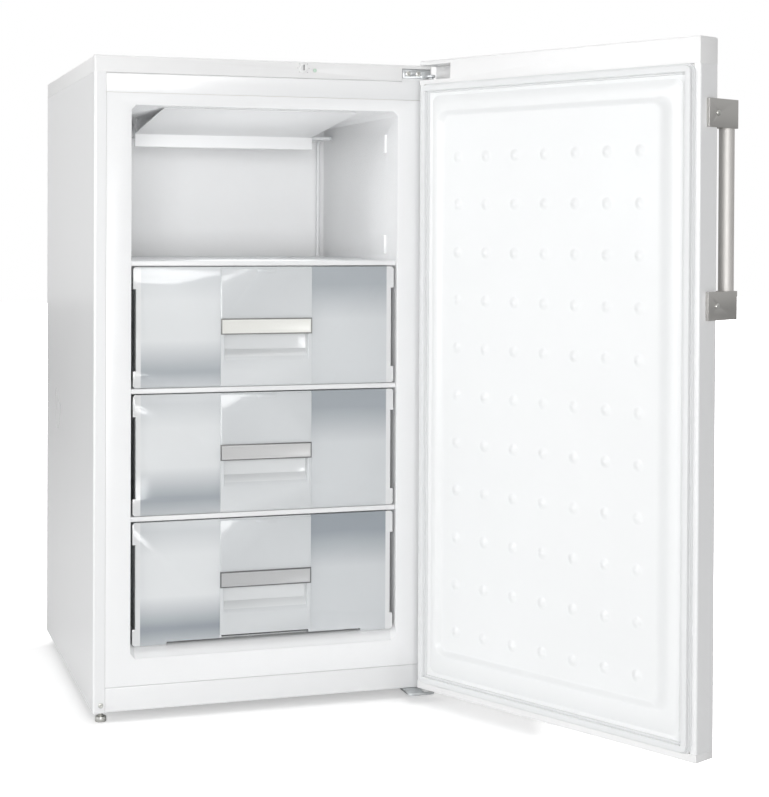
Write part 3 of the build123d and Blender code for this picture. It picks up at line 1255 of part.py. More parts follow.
with BuildPart(DOOR) as door_foam:
    bar(
        (DOOR_HINGE_EDGE + SHEET + FOAM_GAP, DOOR_FREE_EDGE - SHEET - FOAM_GAP),
        (DOOR_INNER + DOOR_LINER + FOAM_GAP, DOOR_OUTER - SHEET - FOAM_GAP),
        (SKIN_BOTTOM + FOAM_GAP, SKIN_TOP - FOAM_GAP),
    )
    chamfer(door_foam.edges().filter_by(Axis.Z), length=PANEL_CORNER)
    for heights in ((SKIN_BOTTOM, BUSHING_ENDS[0] + FOAM_GAP), (BUSHING_ENDS[1] - FOAM_GAP, SKIN_TOP)):
        add(bushing_seat(heights, FOAM_GAP), mode=Mode.SUBTRACT)
    for place in handle_screw_planes():
        add(bore(place, HANDLE_SCREW + FOAM_GAP), mode=Mode.SUBTRACT)
    add(recess(DOOR_LINER + FOAM_GAP), mode=Mode.SUBTRACT)

with BuildPart(DOOR) as hinge_bushings:
    add(bushing_seat((DOOR_BOTTOM, BUSHING_ENDS[0]), 0))
    add(bushing_seat((BASE + BUSHING_REST, DOOR_BOTTOM), BUSHING_FLANGE[0]))
    add(bushing_seat((BUSHING_ENDS[1], NOTCH_FLOOR), 0))
    add(bushing_seat((NOTCH_FLOOR, NOTCH_FLOOR + BUSHING_FLANGE[1]), BUSHING_FLANGE[0]))
    add(peg(0, 0, (0, TOP), PIN + PIN_PLAY, SOCKET_SIDES), mode=Mode.SUBTRACT)

with BuildPart() as door_gasket:
    with BuildSketch(DOOR_FACE):
        foot = gasket_ring(*GASKET_FOOT)
    extrude(amount=foot)
    with BuildSketch(DOOR_FACE.offset(foot)):
        bulb = gasket_ring(GASKET_BULB, DOOR_GAP - foot - GASKET_CLEAR)
    extrude(amount=bulb)
    seal_edges = door_gasket.faces().sort_by(Axis(DOOR_FACE.origin, DOOR_FACE.z_dir))[-1].edges()
    chamfer(seal_edges, length=GASKET_SOFT)

# ---- handle ----
brackets = []
for n, z in enumerate(HANDLE_Z):
    with BuildPart(DOOR) as handle_bracket:
        heights = around(z, BRACKET_HEIGHT)
        bar((DOOR_FREE_EDGE, DOOR_FREE_EDGE + BRACKET_PLATE), (BRACKET_START, HANDLE_V), heights)
        clasp_width = 2 * (DOOR_FREE_EDGE + BRACKET_PLATE - HANDLE_U)
        with BuildSketch(DOOR.offset(heights[0])):
            with Locations((HANDLE_U, HANDLE_V)):
                add(plate(clasp_width, 2 * BRACKET_WRAP, BRACKET_CORNER))
        extrude(amount=BRACKET_HEIGHT)
        socket = around(heights[1 - n], 2 * SOCKET_DEPTH)
        add(peg(HANDLE_U, HANDLE_V, socket, HANDLE_TUBE + TUBE_PLAY, HANDLE_SIDES), mode=Mode.SUBTRACT)
        add(bore(handle_screw_planes()[n], 2 * BRACKET_PLATE), mode=Mode.SUBTRACT)
    brackets.append(handle_bracket)

socket_inset = BRACKET_HEIGHT / 2 - SOCKET_DEPTH
with BuildPart(DOOR) as handle_tube:
    tube_ends = (HANDLE_Z[0] + socket_inset, HANDLE_Z[1] - socket_inset)
    add(peg(HANDLE_U, HANDLE_V, tube_ends, HANDLE_TUBE, HANDLE_SIDES))

with BuildPart(DOOR) as handle_screws:
    for place in handle_screw_planes():
        add(screw(place, HANDLE_SCREW))

# ---- drawers ----
floors = SHELF_TOPS[1:] + [FLOOR]
backs = [CAVITY_BACK - BASKET_BACK] * (SHELF_COUNT - 1) + [LOWER_BACK - BOTTOM_BASKET_BACK]
drawers = []
handles = []
for n in range(SHELF_COUNT):
    low = floors[n] + DRAWER_OVER
    high = SHELF_TOPS[n] - TRIM_HEIGHT - DRAWER_UNDER
    middle_z = (low + high) / 2
    front_width = OPENING_WIDTH - 2 * DRAWER_SIDE_GAP
    panel_front = FRONT + DRAWER_SETBACK - CENTRE_PROUD
    with BuildPart() as drawer:
        with BuildSketch(FRONT_FACE.offset(-DRAWER_SETBACK)):
            with Locations((0, middle_z)):
                add(plate(front_width, high - low, FRONT_CORNER))
            side_cut = high - low - EAR_TOP - EAR_BOTTOM
            for side in (-1, 1):
                with Locations((side * front_width / 2, low + EAR_BOTTOM + side_cut / 2)):
                    Rectangle(2 * EAR_CUT, side_cut, mode=Mode.SUBTRACT)
        extrude(amount=-DRAWER_SKIN)
        with BuildSketch(FRONT_FACE.offset(-DRAWER_SETBACK)):
            with Locations((0, middle_z)):
                rim_width = front_width - 2 * EAR_CUT
                add(plate(rim_width, high - low, FRONT_CORNER))
                rim_hole = plate(rim_width - 2 * DRAWER_SKIN, high - low - 2 * DRAWER_SKIN, RIM_CORNER)
                add(rim_hole, mode=Mode.SUBTRACT)
        extrude(amount=-DRAWER_SKIN - DRAWER_RIM)
        add(basket(floors[n], backs[n]))
        add(grip(DRAWER_SKIN + SEAM, middle_z), mode=Mode.SUBTRACT)
        if n == SHELF_COUNT - 1:
            for cut_width, cut_height in FRONT_UNDERCUT:
                bar(
                    around(MID_X, cut_width),
                    (panel_front - SHEET, panel_front + 2 * DRAWER_RIM),
                    (low - SHEET, low + cut_height),
                    mode=Mode.SUBTRACT,
                )
    with BuildPart() as centre_panel:
        panel_low = low + (FRONT_UNDERCUT[-1][1] if n == SHELF_COUNT - 1 else DRAWER_SKIN)
        bar(
            around(MID_X, CENTRE_WIDTH),
            (panel_front, panel_front + CENTRE_PROUD),
            (panel_low, high - DRAWER_SKIN),
        )
        tab_z = high - TAB_DOWN
        bar(around(MID_X, TAB[0]), (panel_front - TAB_PROUD, panel_front), (tab_z - TAB[1], tab_z))
        add(grip(DRAWER_SKIN, middle_z))
        add(grip(0, middle_z), mode=Mode.SUBTRACT)
    drawers.append(Compound(children=[drawer.part, centre_panel.part]))
    with BuildPart() as handle:
        bar(
            around(MID_X, CENTRE_WIDTH),
            (panel_front - STRIP_THICK, panel_front),
            around(middle_z, STRIP_HEIGHT),
        )
        chamfer(handle.faces().sort_by(Axis.Y)[0].edges(), length=STRIP_RECESS[1])
        bar(
            around(MID_X, CENTRE_WIDTH - 2 * STRIP_RECESS[0]),
            around(panel_front - STRIP_THICK, 2 * STRIP_RECESS[1]),
            around(middle_z, STRIP_HEIGHT - 2 * STRIP_RECESS[0]),
            mode=Mode.SUBTRACT,
        )
        lip_low = middle_z - STRIP_HEIGHT / 2
        bar(
            around(MID_X, CENTRE_WIDTH - 2 * STRIP_REST - 2 * SEAM),
            (panel_front - SHEET, panel_front + STRIP_LIP[0]),
            (lip_low, lip_low + STRIP_LIP[1]),
        )
    handles.append(handle)

# ---- export ----
pieces = {
    "left_side_panel": left_side_panel,
    "right_side_panel": right_side_panel,
    "top_cap": top_cap,
    "control_fascia": control_fascia,
    "indicator_lens": indicator_lens,
    "thermostat_dial": thermostat_dial,
    "thermostat_body": thermostat_body,
    "header_rail": header_rail,
    "top_panel": top_panel,
    "plinth_rail": plinth_rail,
    "flange_screws": flange_screws,
    "inner_liner": inner_liner,
    "insulation_foam": insulation_foam,
    "ceiling_evaporator_plate": ceiling_evaporator_plate,
    "ceiling_cover": ceiling_cover,
    "evaporator_tube": evaporator_tube,
    "machine_bay_panel": machine_bay_panel,
    "back_panel": back_panel,
    "base_tray": base_tray,
    "compressor_grommets": compressor_grommets,
    "compressor": compressor,
    "relay_cover": relay_cover,
    "condenser_tube": condenser_tube,
    "condenser_wires": condenser_wires,
    "condenser_brackets": condenser_brackets,
    "filter_drier": filter_drier,
    "discharge_line": discharge_line,
    "liquid_line": liquid_line,
    "suction_line": suction_line,
    "rear_left_foot": rear_feet[0],
    "rear_right_foot": rear_feet[1],
    "front_left_foot": front_feet[0],
    "front_right_foot": front_feet[1],
    "foot_nuts": foot_nuts,
    "upper_hinge_bracket": upper_hinge_bracket,
    "lower_hinge_bracket": lower_hinge_bracket,
    "hinge_screws": hinge_screws,
    "door_skin": door_skin,
    "door_top_cap": door_top_cap,
    "door_bottom_cap": door_bottom_cap,
    "door_liner": door_liner,
    "door_foam": door_foam,
    "door_gasket": door_gasket,
    "hinge_bushings": hinge_bushings,
    "handle_lower_bracket": brackets[0],
    "handle_upper_bracket": brackets[1],
    "handle_tube": handle_tube,
    "handle_screws": handle_screws,
}
for n in range(SHELF_COUNT):
    pieces[f"shelf_{n + 1}_plate"] = shelf_plates[n]
    pieces[f"shelf_{n + 1}_trim"] = shelf_trims[n]
    pieces[f"drawer_{n + 1}_basket"] = drawers[n]
    pieces[f"drawer_{n + 1}_handle"] = handles[n]

for name, piece in pieces.items():
    shape = piece.part if isinstance(piece, BuildPart) else piece
    shape.label = name
    export_step(shape, f"parts/{name}.step")
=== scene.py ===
"""Looks of a free-standing upright freezer, its door open to the right over three clear drawers.

Metres, +Z up. The cabinet faces -Y, and the origin is on the floor under the rear left foot. Pieces on
the door are drawn in the door's own axes (u along the door, v out of its front) and placed by DoorPart.
"""

import logging
import math
from dataclasses import dataclass
from enum import Enum
from functools import lru_cache
from typing import Any, Callable, Iterable, Optional, Sequence

import bmesh
import bpy
from mathutils import Matrix, Vector


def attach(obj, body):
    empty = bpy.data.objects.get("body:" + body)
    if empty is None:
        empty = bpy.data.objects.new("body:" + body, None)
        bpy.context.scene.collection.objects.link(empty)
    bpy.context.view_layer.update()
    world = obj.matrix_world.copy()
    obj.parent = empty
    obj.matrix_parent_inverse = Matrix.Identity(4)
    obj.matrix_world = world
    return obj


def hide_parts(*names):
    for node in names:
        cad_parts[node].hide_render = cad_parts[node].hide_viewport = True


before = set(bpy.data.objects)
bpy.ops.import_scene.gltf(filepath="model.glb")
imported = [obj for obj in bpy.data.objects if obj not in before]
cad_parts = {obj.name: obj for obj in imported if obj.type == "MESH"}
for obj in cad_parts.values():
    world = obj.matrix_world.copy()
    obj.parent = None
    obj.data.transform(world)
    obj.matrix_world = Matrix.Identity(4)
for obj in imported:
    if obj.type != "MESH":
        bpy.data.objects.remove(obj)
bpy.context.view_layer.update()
log = logging.getLogger("freezer")

Point = tuple[float, float, float]
Colour = tuple[float, float, float]
Pair = tuple[float, float]
WHITE = (1.0, 1.0, 1.0, 1.0)
FORWARD = Matrix.Rotation(math.pi / 2, 4, "X")  # turns +Z to -Y
FINE = 0.00003  # metres of the finest relief


class Body(Enum):
    """The moving bodies that pieces ride on."""

    CABINET = "cabinet"
    DOOR = "door"
    DRAWER_1 = "drawer_1"
    DRAWER_2 = "drawer_2"
    DRAWER_3 = "drawer_3"
    DIAL = "dial"
    LEFT_FOOT = "left_levelling_foot"
    RIGHT_FOOT = "right_levelling_foot"


# ---------------------------------------------------------------- node trees
def maths(operation: str, swapped: bool = False) -> Callable[..., "Out"]:
    """Makes a method of Out that adds one Math node.

    Args:
        operation: The Math node's operation.
        swapped: The other operand comes first.

    Returns:
        The method.
    """

    def method(self: "Out", other: Any = 0.0) -> "Out":
        """The operation's result."""
        first, second = (other, self) if swapped else (self, other)
        return self.tree.out("ShaderNodeMath", {0: first, 1: second}, operation=operation)

    return method


@dataclass(eq=False)
class Out:
    """A node's output; maths on it adds nodes, so that node maths reads as an expression."""

    tree: "Tree"
    socket: bpy.types.NodeSocket

    __add__ = __radd__ = maths("ADD")
    __sub__ = maths("SUBTRACT")
    __rsub__ = maths("SUBTRACT", True)
    __mul__ = __rmul__ = maths("MULTIPLY")
    __truediv__ = maths("DIVIDE")
    __pow__ = maths("POWER")
    cosine = maths("COSINE")
    size = maths("ABSOLUTE")
    least = maths("MINIMUM")
    most = maths("MAXIMUM")

    def away_from(self, other: Any) -> "Out":
        """The distance between the two."""
        return (self - other).size()

    def spread(self, low: float, high: float, to_low: float = 0.0, to_high: float = 1.0) -> "Out":
        """Maps low..high to to_low..to_high, held at the ends.

        Args:
            low: Value that gives to_low.
            high: Value that gives to_high.
            to_low: Result at low.
            to_high: Result at high.

        Returns:
            The mapped number.
        """
        values = {"Value": self, "From Min": low, "From Max": high, "To Min": to_low, "To Max": to_high}
        return self.tree.out("ShaderNodeMapRange", values, clamp=True)


@dataclass(eq=False)
class Tree:
    """A node tree, to which nodes are added by plain calls."""

    tree: bpy.types.NodeTree

    def own(self, kind: str) -> bpy.types.Node:
        """The first node of a type."""
        return next(n for n in self.tree.nodes if n.type == kind)

    def plug(self, value: Any, into: bpy.types.NodeSocket) -> None:
        """Fills one input.

        Args:
            value: An output to link, or a plain value.
            into: The input.
        """
        value = value.socket if isinstance(value, Out) else value
        if isinstance(value, bpy.types.NodeSocket):
            self.tree.links.new(value, into)
        else:
            into.default_value = value

    def node(self, kind: str, values: Optional[dict] = None, **settings: Any) -> bpy.types.Node:
        """Adds one node.

        Args:
            kind: Blender's name for the node's type.
            values: Value or output for each input, by name or index.
            settings: The node's own settings, which are set first.

        Returns:
            The new node.
        """
        made = self.tree.nodes.new(kind)
        for key, value in settings.items():
            setattr(made, key, value)
        for key, value in (values or {}).items():
            self.plug(value, made.inputs[key])
        return made

    def out(self, kind: str, values: Optional[dict] = None, **settings: Any) -> Out:
        """Adds one node and gives its first output."""
        return Out(self, self.node(kind, values, **settings).outputs[0])

    def split(self, vector: Any) -> list[Out]:
        """The three parts of a vector."""
        return [Out(self, part) for part in self.node("ShaderNodeSeparateXYZ", {0: vector}).outputs]

    def ray(self, kind: str) -> Out:
        """1 for light rays of one kind, such as Is Camera Ray, and 0 for others."""
        return Out(self, self.node("ShaderNodeLightPath").outputs[kind])

    def surface(self, factor: Out, first: bpy.types.Node, second: bpy.types.Node, output: str) -> None:
        """Ends the tree with a mix of two shaders.

        Args:
            factor: 0 shows the first, 1 the second.
            first: A shader.
            second: Another.
            output: The type of the tree's output node.
        """
        shown = self.out("ShaderNodeMixShader", {0: factor, 1: first.outputs[0], 2: second.outputs[0]})
        self.plug(shown, self.own(output).inputs["Surface"])


class Coating(Tree):
    """One material's nodes, round a Principled shader."""

    def __init__(self, name: str) -> None:
        """Starts the material.

        Args:
            name: The material's name.
        """
        self.material = bpy.data.materials.new(name)
        self.material.use_nodes = True
        super().__init__(self.material.node_tree)
        self.shader = self.own("BSDF_PRINCIPLED")
        self.place = self.node("ShaderNodeTexCoord").outputs["Object"]

    def stretched(self, scale: Point, turn: float = 0.0) -> Out:
        """Object coordinates, turned about Z by radians and then scaled on each axis."""
        turned = self.out("ShaderNodeMapping", {"Vector": self.place, "Rotation": (0.0, 0.0, turn)})
        return self.out("ShaderNodeMapping", {"Vector": turned, "Scale": scale})

    def noise(self, scale: float, detail: float = 2.0, at: Optional[Out] = None) -> Out:
        """Soft noise from 0 to 1.

        Args:
            scale: Cells in a metre.
            detail: Octaves.
            at: Coordinates, if not the plain object ones.

        Returns:
            The noise.
        """
        values = {"Vector": at or self.place, "Scale": scale, "Detail": detail}
        return self.out("ShaderNodeTexNoise", values)

    def cells(self, scale: float, output: str = "Distance") -> Out:
        """A pattern of cells, scale of them in a metre, by the named output."""
        made = self.node("ShaderNodeTexVoronoi", {"Vector": self.place, "Scale": scale})
        return Out(self, made.outputs[output])

    def set(self, **values: Any) -> None:
        """Sets or links the shader's own sockets; an underscore stands for a space."""
        for key, value in values.items():
            self.plug(value, self.shader.inputs[key.replace("_", " ")])

    def tint(self, low: Any, high: Colour, by: Out) -> bpy.types.NodeSocket:
        """A colour between low, a colour or a tint, and high."""
        low = low if isinstance(low, bpy.types.NodeSocket) else (*low, 1.0)
        return self.node("ShaderNodeMix", {0: by, 6: low, 7: (*high, 1.0)}, data_type="RGBA").outputs[2]

    def shades(self, colour: Colour, share: float, by: Out) -> bpy.types.NodeSocket:
        """The colour where by is 1, darkened to a share of it where by is 0."""
        return self.tint(darker(colour, share), colour, by)

    def relief(self, height: Out, depth: float, strength: float = 1.0) -> None:
        """Bumps the surface; several reliefs add up.

        Args:
            height: From 0 to 1.
            depth: Metres that a height of 1 stands for.
            strength: Share of it that shows.
        """
        values = {"Height": height, "Distance": depth, "Strength": strength}
        before = self.shader.inputs["Normal"]
        if before.is_linked:
            values["Normal"] = before.links[0].from_socket
        self.set(Normal=self.out("ShaderNodeBump", values))


def darker(colour: Colour, by: float) -> Colour:
    """The colour with every part multiplied by one factor."""
    return tuple(part * by for part in colour)


# ---------------------------------------------------------------- finishes
@dataclass(frozen=True)
class Finish:
    """A procedural material and a slot name."""

    name: str
    slot: str
    colour: Colour

    def dress(self, coating: Coating) -> None:
        """Adds the finish's own nodes."""
        raise NotImplementedError

    @lru_cache(maxsize=None)
    def material(self) -> bpy.types.Material:
        """Builds the material at its first use.

        Returns:
            The one material of this finish.
        """
        coating = Coating(self.name)
        self.dress(coating)
        return coating.material


@dataclass(frozen=True)
class Enamel(Finish):
    """Sprayed paint on sheet steel: a faint orange peel under a clear gloss."""

    roughness: float = 0.3
    coat: float = 0.25
    peel: float = 0.00006

    def dress(self, coating: Coating) -> None:
        """Lets tone and gloss drift, and adds the peel.

        Args:
            coating: The material's nodes.
        """
        drift = coating.noise(3.0, 3.0)
        coating.set(
            Base_Color=coating.shades(self.colour, 0.985, drift),
            Roughness=drift.spread(0.2, 0.8, self.roughness - 0.04, self.roughness + 0.05),
            Coat_Weight=self.coat,
            Coat_Roughness=0.12,
        )
        coating.relief(coating.noise(420.0, 1.0), self.peel, 0.5)


@dataclass(frozen=True)
class Moulded(Finish):
    """Moulded plastic or rubber with a fine spark-eroded grain and slight sink marks."""

    roughness: float = 0.42
    grain: float = 900.0
    depth: float = 0.00004
    waves: float = 0.0

    def dress(self, coating: Coating) -> None:
        """Adds the grain and, where there are any, the waves.

        Args:
            coating: The material's nodes.
        """
        grain = coating.cells(self.grain)
        coating.set(
            Base_Color=coating.shades(self.colour, 0.97, coating.noise(9.0, 2.0)),
            Roughness=grain.spread(0.0, 0.8, self.roughness - 0.06, self.roughness + 0.06),
        )
        coating.relief(grain, self.depth, 0.6)
        if self.waves:
            coating.relief(coating.noise(14.0, 1.0), self.waves)


@dataclass(frozen=True)
class ClearPlastic(Finish):
    """Clear moulded drawer plastic: pale edges with a painted highlight, and panes with painted shade and
    reflections that run from bright to blue-grey.

    The colour is the pane's, low and high are its ends, and shade is how dark the painted shade gets.
    """

    low: float
    high: float
    shade: float
    # Colour of the painted shade on the panes.
    painted_shade_colour: Colour = (0.36, 0.40, 0.44)
    # Colour of the painted highlight along the drawer's edges.
    rim: Colour = (0.93, 0.94, 0.945)
    roughness: float = 0.09
    clear: float = 0.40  # alpha of the tub
    veil: float = 0.34  # what the front adds to it
    middle: float = 0.2515
    half: float = 0.2105
    edge: float = 0.0125
    centre: float = 0.0735
    front: float = -0.5262
    pocket: float = 0.0195
    line: float = 0.0005

    def dress(self, coating: Coating) -> None:
        """Paints shade and reflections into the front as bands, and shows the tub behind it more faintly.

        Args:
            coating: The material's nodes.
        """
        x, y, z = coating.split(coating.place)
        up = z.spread(self.low, self.high)
        low, high = self.middle - self.centre, self.middle + self.centre
        left = x.spread(low + self.line, low - self.line)
        right = x.spread(high - self.line, high + self.line)
        # Painted shade and reflections on the front: a dark band low on the left, shade darker towards the top on
        # the right and a little at the top on the left, and a grey wash over the right and the middle.
        foot = up.away_from(0.13).spread(0.0, 0.26, 1.0, 0.0) * left
        painted_top_shade = up.spread(0.55, 1.0) * right + up.away_from(0.92).spread(0.0, 0.2, 0.3, 0.0) * left
        painted_grey_wash = right * 0.28 + (1.0 - left - right) * (0.12 + up * 0.12)
        painted_shade_bands = (foot + painted_top_shade + painted_grey_wash + coating.noise(9.0, 1.0) * 0.1).least(1.0) * self.shade
        # Pale, more opaque edges: a painted highlight along the drawer's sides.
        inner = self.half - self.edge
        rim = x.away_from(self.middle).spread(inner, inner + 2 * self.line)
        pane = y.spread(self.front, self.front - 0.0004)
        centre = x.away_from(self.middle).spread(self.centre, self.centre - self.line)
        back = self.front + self.pocket
        pocket = centre * y.spread(back, back - self.line) * (1.0 - pane)
        scratches = coating.noise(60.0, 4.0, coating.stretched((1.0, 1.0, 14.0)))
        coating.set(
            Base_Color=coating.tint(coating.tint(self.colour, self.painted_shade_colour, painted_shade_bands * pane), self.rim, rim),
            Roughness=scratches.spread(0.45, 0.7, self.roughness, self.roughness + 0.08),
            Alpha=(self.clear + (pane + pocket).most(rim) * self.veil).least(1.0),
            IOR=1.5,
        )
        coating.relief(coating.noise(16.0, 1.0), 0.0004, 0.3)


@dataclass(frozen=True)
class Strip(Finish):
    """Moulded grip strip, whose middle is at a height, with painted shade as a dark line along its border groove."""

    height: float
    middle: float = 0.2515
    half: Pair = (0.0714, 0.0103)
    # Width of the dark line of painted shade.
    groove: float = 0.0005
    roughness: float = 0.3

    def dress(self, coating: Coating) -> None:
        """Paints shade along the border groove and adds the grain.

        Args:
            coating: The material's nodes.
        """
        x, _, z = coating.split(coating.place)
        sides = ((x, self.middle, self.half[0]), (z, self.height, self.half[1]))
        across, along = (part.away_from(to).spread(half, half + self.groove) for part, to, half in sides)
        grain = coating.noise(700.0, 2.0)
        # The dark line round the border is painted shade in the groove.
        coating.set(
            Base_Color=coating.tint(self.colour, darker(self.colour, 0.25), across.most(along)),
            Roughness=grain.spread(0.2, 0.8, self.roughness - 0.05, self.roughness + 0.06),
        )
        coating.relief(grain, FINE, 0.5)


@dataclass(frozen=True)
class Brushed(Finish):
    """Metal brushed along Z, turned with the piece about Z."""

    roughness: float = 0.3
    along: Point = (1.0, 1.0, 0.02)
    turn: float = 64.0
    lines: float = 2600.0

    def dress(self, coating: Coating) -> None:
        """Draws the lines out along the piece.

        Args:
            coating: The material's nodes.
        """
        lines = coating.noise(self.lines, 2.0, coating.stretched(self.along, math.radians(self.turn)))
        gloss = lines.spread(0.2, 0.8, self.roughness - 0.07, self.roughness + 0.08)
        coating.set(
            Base_Color=coating.shades(self.colour, 0.9, lines),
            Metallic=1.0,
            Roughness=gloss + coating.noise(25.0, 2.0) * 0.04,
        )
        coating.relief(lines, FINE, 0.5)


@dataclass(frozen=True)
class Galvanised(Finish):
    """Zinc-coated steel with its crystal spangle."""

    roughness: float = 0.42
    spangle: float = 90.0

    def dress(self, coating: Coating) -> None:
        """Gives each crystal its own tone and gloss.

        Args:
            coating: The material's nodes.
        """
        shade = coating.out("ShaderNodeSeparateColor", {0: coating.cells(self.spangle, "Color")})
        coating.set(
            Base_Color=coating.shades(self.colour, 0.82, shade),
            Metallic=0.95,
            Roughness=shade.spread(0.0, 1.0, self.roughness - 0.08, self.roughness + 0.1),
        )
        coating.relief(coating.noise(700.0, 2.0), FINE, 0.5)


@dataclass(frozen=True)
class Drawn(Finish):
    """Drawn tube or wire: fine marks along it and a little tarnish."""

    tarnish: Colour
    roughness: float = 0.3
    metallic: float = 1.0

    def dress(self, coating: Coating) -> None:
        """Stains the metal and adds the marks.

        Args:
            coating: The material's nodes.
        """
        stain = coating.noise(45.0, 4.0)
        coating.set(
            Base_Color=coating.tint(self.tarnish, self.colour, stain.spread(0.35, 0.65)),
            Metallic=self.metallic,
            Roughness=stain.spread(0.3, 0.7, self.roughness + 0.12, self.roughness),
        )
        coating.relief(coating.noise(1500.0, 1.0), FINE, 0.4)


@dataclass(frozen=True)
class Foamed(Finish):
    """Blown polyurethane with open cells on its skin."""

    def dress(self, coating: Coating) -> None:
        """Adds cells and lumps.

        Args:
            coating: The material's nodes.
        """
        cell, lump = coating.cells(320.0), coating.noise(30.0, 3.0)
        coating.set(Base_Color=coating.shades(self.colour, 0.8, lump), Roughness=0.9)
        coating.relief(cell, 0.0006)
        coating.relief(lump, 0.0015, 0.6)


class Look:
    """Every finish of the freezer, by the thing that has it."""

    BODY = Enamel("body_enamel", "white_paint", (0.84, 0.845, 0.85))
    CAP = Moulded("cap_plastic", "white_plastic", (0.84, 0.84, 0.84), 0.38)
    LINER = Moulded("liner_plastic", "liner_plastic", (0.9, 0.905, 0.91), 0.3, 1100.0, 0.00002, 0.0009)
    DOOR_LINER = Moulded("door_liner_plastic", "liner_plastic", (0.83, 0.84, 0.843), 0.33, 1100.0, 0.00002, 0.0005)
    TRIM = Moulded("trim_plastic", "white_plastic", (0.84, 0.845, 0.85), 0.34)
    PANE = (0.93, 0.95, 0.96)
    # Each drawer's painted shade is deeper than the one above it.
    DRAWERS = (
        ClearPlastic("drawer_1_plastic", "clear_plastic", PANE, 0.511, 0.6975, 0.75),
        ClearPlastic("drawer_2_plastic", "clear_plastic", PANE, 0.314, 0.5005, 0.85),
        ClearPlastic("drawer_3_plastic", "clear_plastic", PANE, 0.113, 0.3035, 0.95),
    )
    STRIPS = (
        Strip("strip_cream", "grip_plastic", (0.79, 0.79, 0.755), 0.60425),
        Strip("strip_grey", "grip_plastic", (0.56, 0.56, 0.56), 0.40725),
        Strip("strip_dark", "grip_plastic", (0.48, 0.485, 0.49), 0.20825),
    )
    LENS = Moulded("lens_plastic", "indicator", (0.62, 0.78, 0.66), 0.12, 400.0, 0.00001)
    GASKET = Moulded("gasket_rubber", "white_rubber", (0.76, 0.77, 0.775), 0.55, 700.0, 0.00005)
    TUBE = Brushed("handle_steel", "brushed_steel", (0.68, 0.665, 0.645), 0.62)
    BRACKET = Brushed("bracket_steel", "bracket_metal", (0.56, 0.55, 0.53), 0.38)
    ZINC = Galvanised("zinc_steel", "zinc_steel", (0.66, 0.68, 0.69))
    SCREW = Drawn("screw_steel", "zinc_steel", (0.72, 0.72, 0.7), (0.5, 0.5, 0.47), 0.25)
    COPPER = Drawn("copper_tube", "copper", (0.8, 0.42, 0.26), (0.36, 0.2, 0.13), 0.26)
    ALUMINIUM = Drawn("coated_aluminium", "white_aluminium", (0.84, 0.85, 0.86), (0.8, 0.81, 0.82), 0.4, 0.0)
    BLACK_PAINT = Drawn("black_paint", "black_paint", (0.022, 0.022, 0.024), (0.035, 0.034, 0.034), 0.33, 0.0)
    RELAY = Moulded("relay_plastic", "black_plastic", (0.03, 0.03, 0.032), 0.5)
    RUBBER = Moulded("black_rubber", "black_rubber", (0.025, 0.025, 0.025), 0.7, 500.0, 0.00008)
    BUSHING = Moulded("bushing_plastic", "grey_plastic", (0.5, 0.5, 0.5), 0.45)
    INK = Moulded("dial_ink", "grey_plastic", (0.2, 0.2, 0.205), 0.5)
    FOAM = Foamed("foam", "foam", (0.84, 0.79, 0.66))


# ---------------------------------------------------------------- meshes
def smooth(mesh: bpy.types.Mesh, angle: float = 35.0) -> None:
    """Shades a mesh smooth, with edges sharper than angle degrees kept."""
    mesh.polygons.foreach_set("use_smooth", [True] * len(mesh.polygons))
    mesh.set_sharp_from_angle(angle=math.radians(angle))


def linked(name: str, data: Any) -> bpy.types.Object:
    """Puts a new object into the scene.

    Args:
        name: Its name.
        data: Its mesh, curve, lamp or camera.

    Returns:
        The object.
    """
    made = bpy.data.objects.new(name, data)
    bpy.context.scene.collection.objects.link(made)
    return made


def baked(holder: bpy.types.Object, angle: float) -> bpy.types.Mesh:
    """Runs an object's modifiers and removes the object.

    Args:
        holder: The object.
        angle: Edges sharper than these degrees stay sharp.

    Returns:
        The plain mesh that the modifiers make.
    """
    evaluated = holder.evaluated_get(bpy.context.evaluated_depsgraph_get())
    made = bpy.data.meshes.new_from_object(evaluated)
    holder.modifiers.clear()
    bpy.data.objects.remove(holder)
    smooth(made, angle)
    return made


def finished(bm: bmesh.types.BMesh, name: str) -> bpy.types.Mesh:
    """Ends a bmesh, which is freed.

    Args:
        bm: The bmesh.
        name: The mesh's name.

    Returns:
        Its mesh.
    """
    mesh = bpy.data.meshes.new(name)
    bm.to_mesh(mesh)
    bm.free()
    return mesh


def quarter(steps: int) -> list[float]:
    """Angles from 0 to a quarter turn."""
    return [math.radians(90 * n / steps) for n in range(steps + 1)]


def circle(radius: float, height: float, sides: int) -> list[Point]:
    """Points of a circle about Z."""
    turns = [2 * math.pi * n / sides for n in range(sides)]
    return [(radius * math.cos(t), radius * math.sin(t), height) for t in turns]


def raised(corners: Iterable[Sequence[float]], heights: Iterable[float], at: Matrix) -> list[list[Vector]]:
    """A flat outline at each height, placed by a matrix.

    Args:
        corners: The outline's x and y pairs.
        heights: Where it is repeated.
        at: Turns and moves the points.

    Returns:
        A ring of points for each height.
    """
    return [[at @ Vector((x, y, z)) for x, y in corners] for z in heights]


def box(low: Pair, high: Pair) -> list[Pair]:
    """Corners of a rectangle, anticlockwise."""
    return [low, (high[0], low[1]), high, (low[0], high[1])]


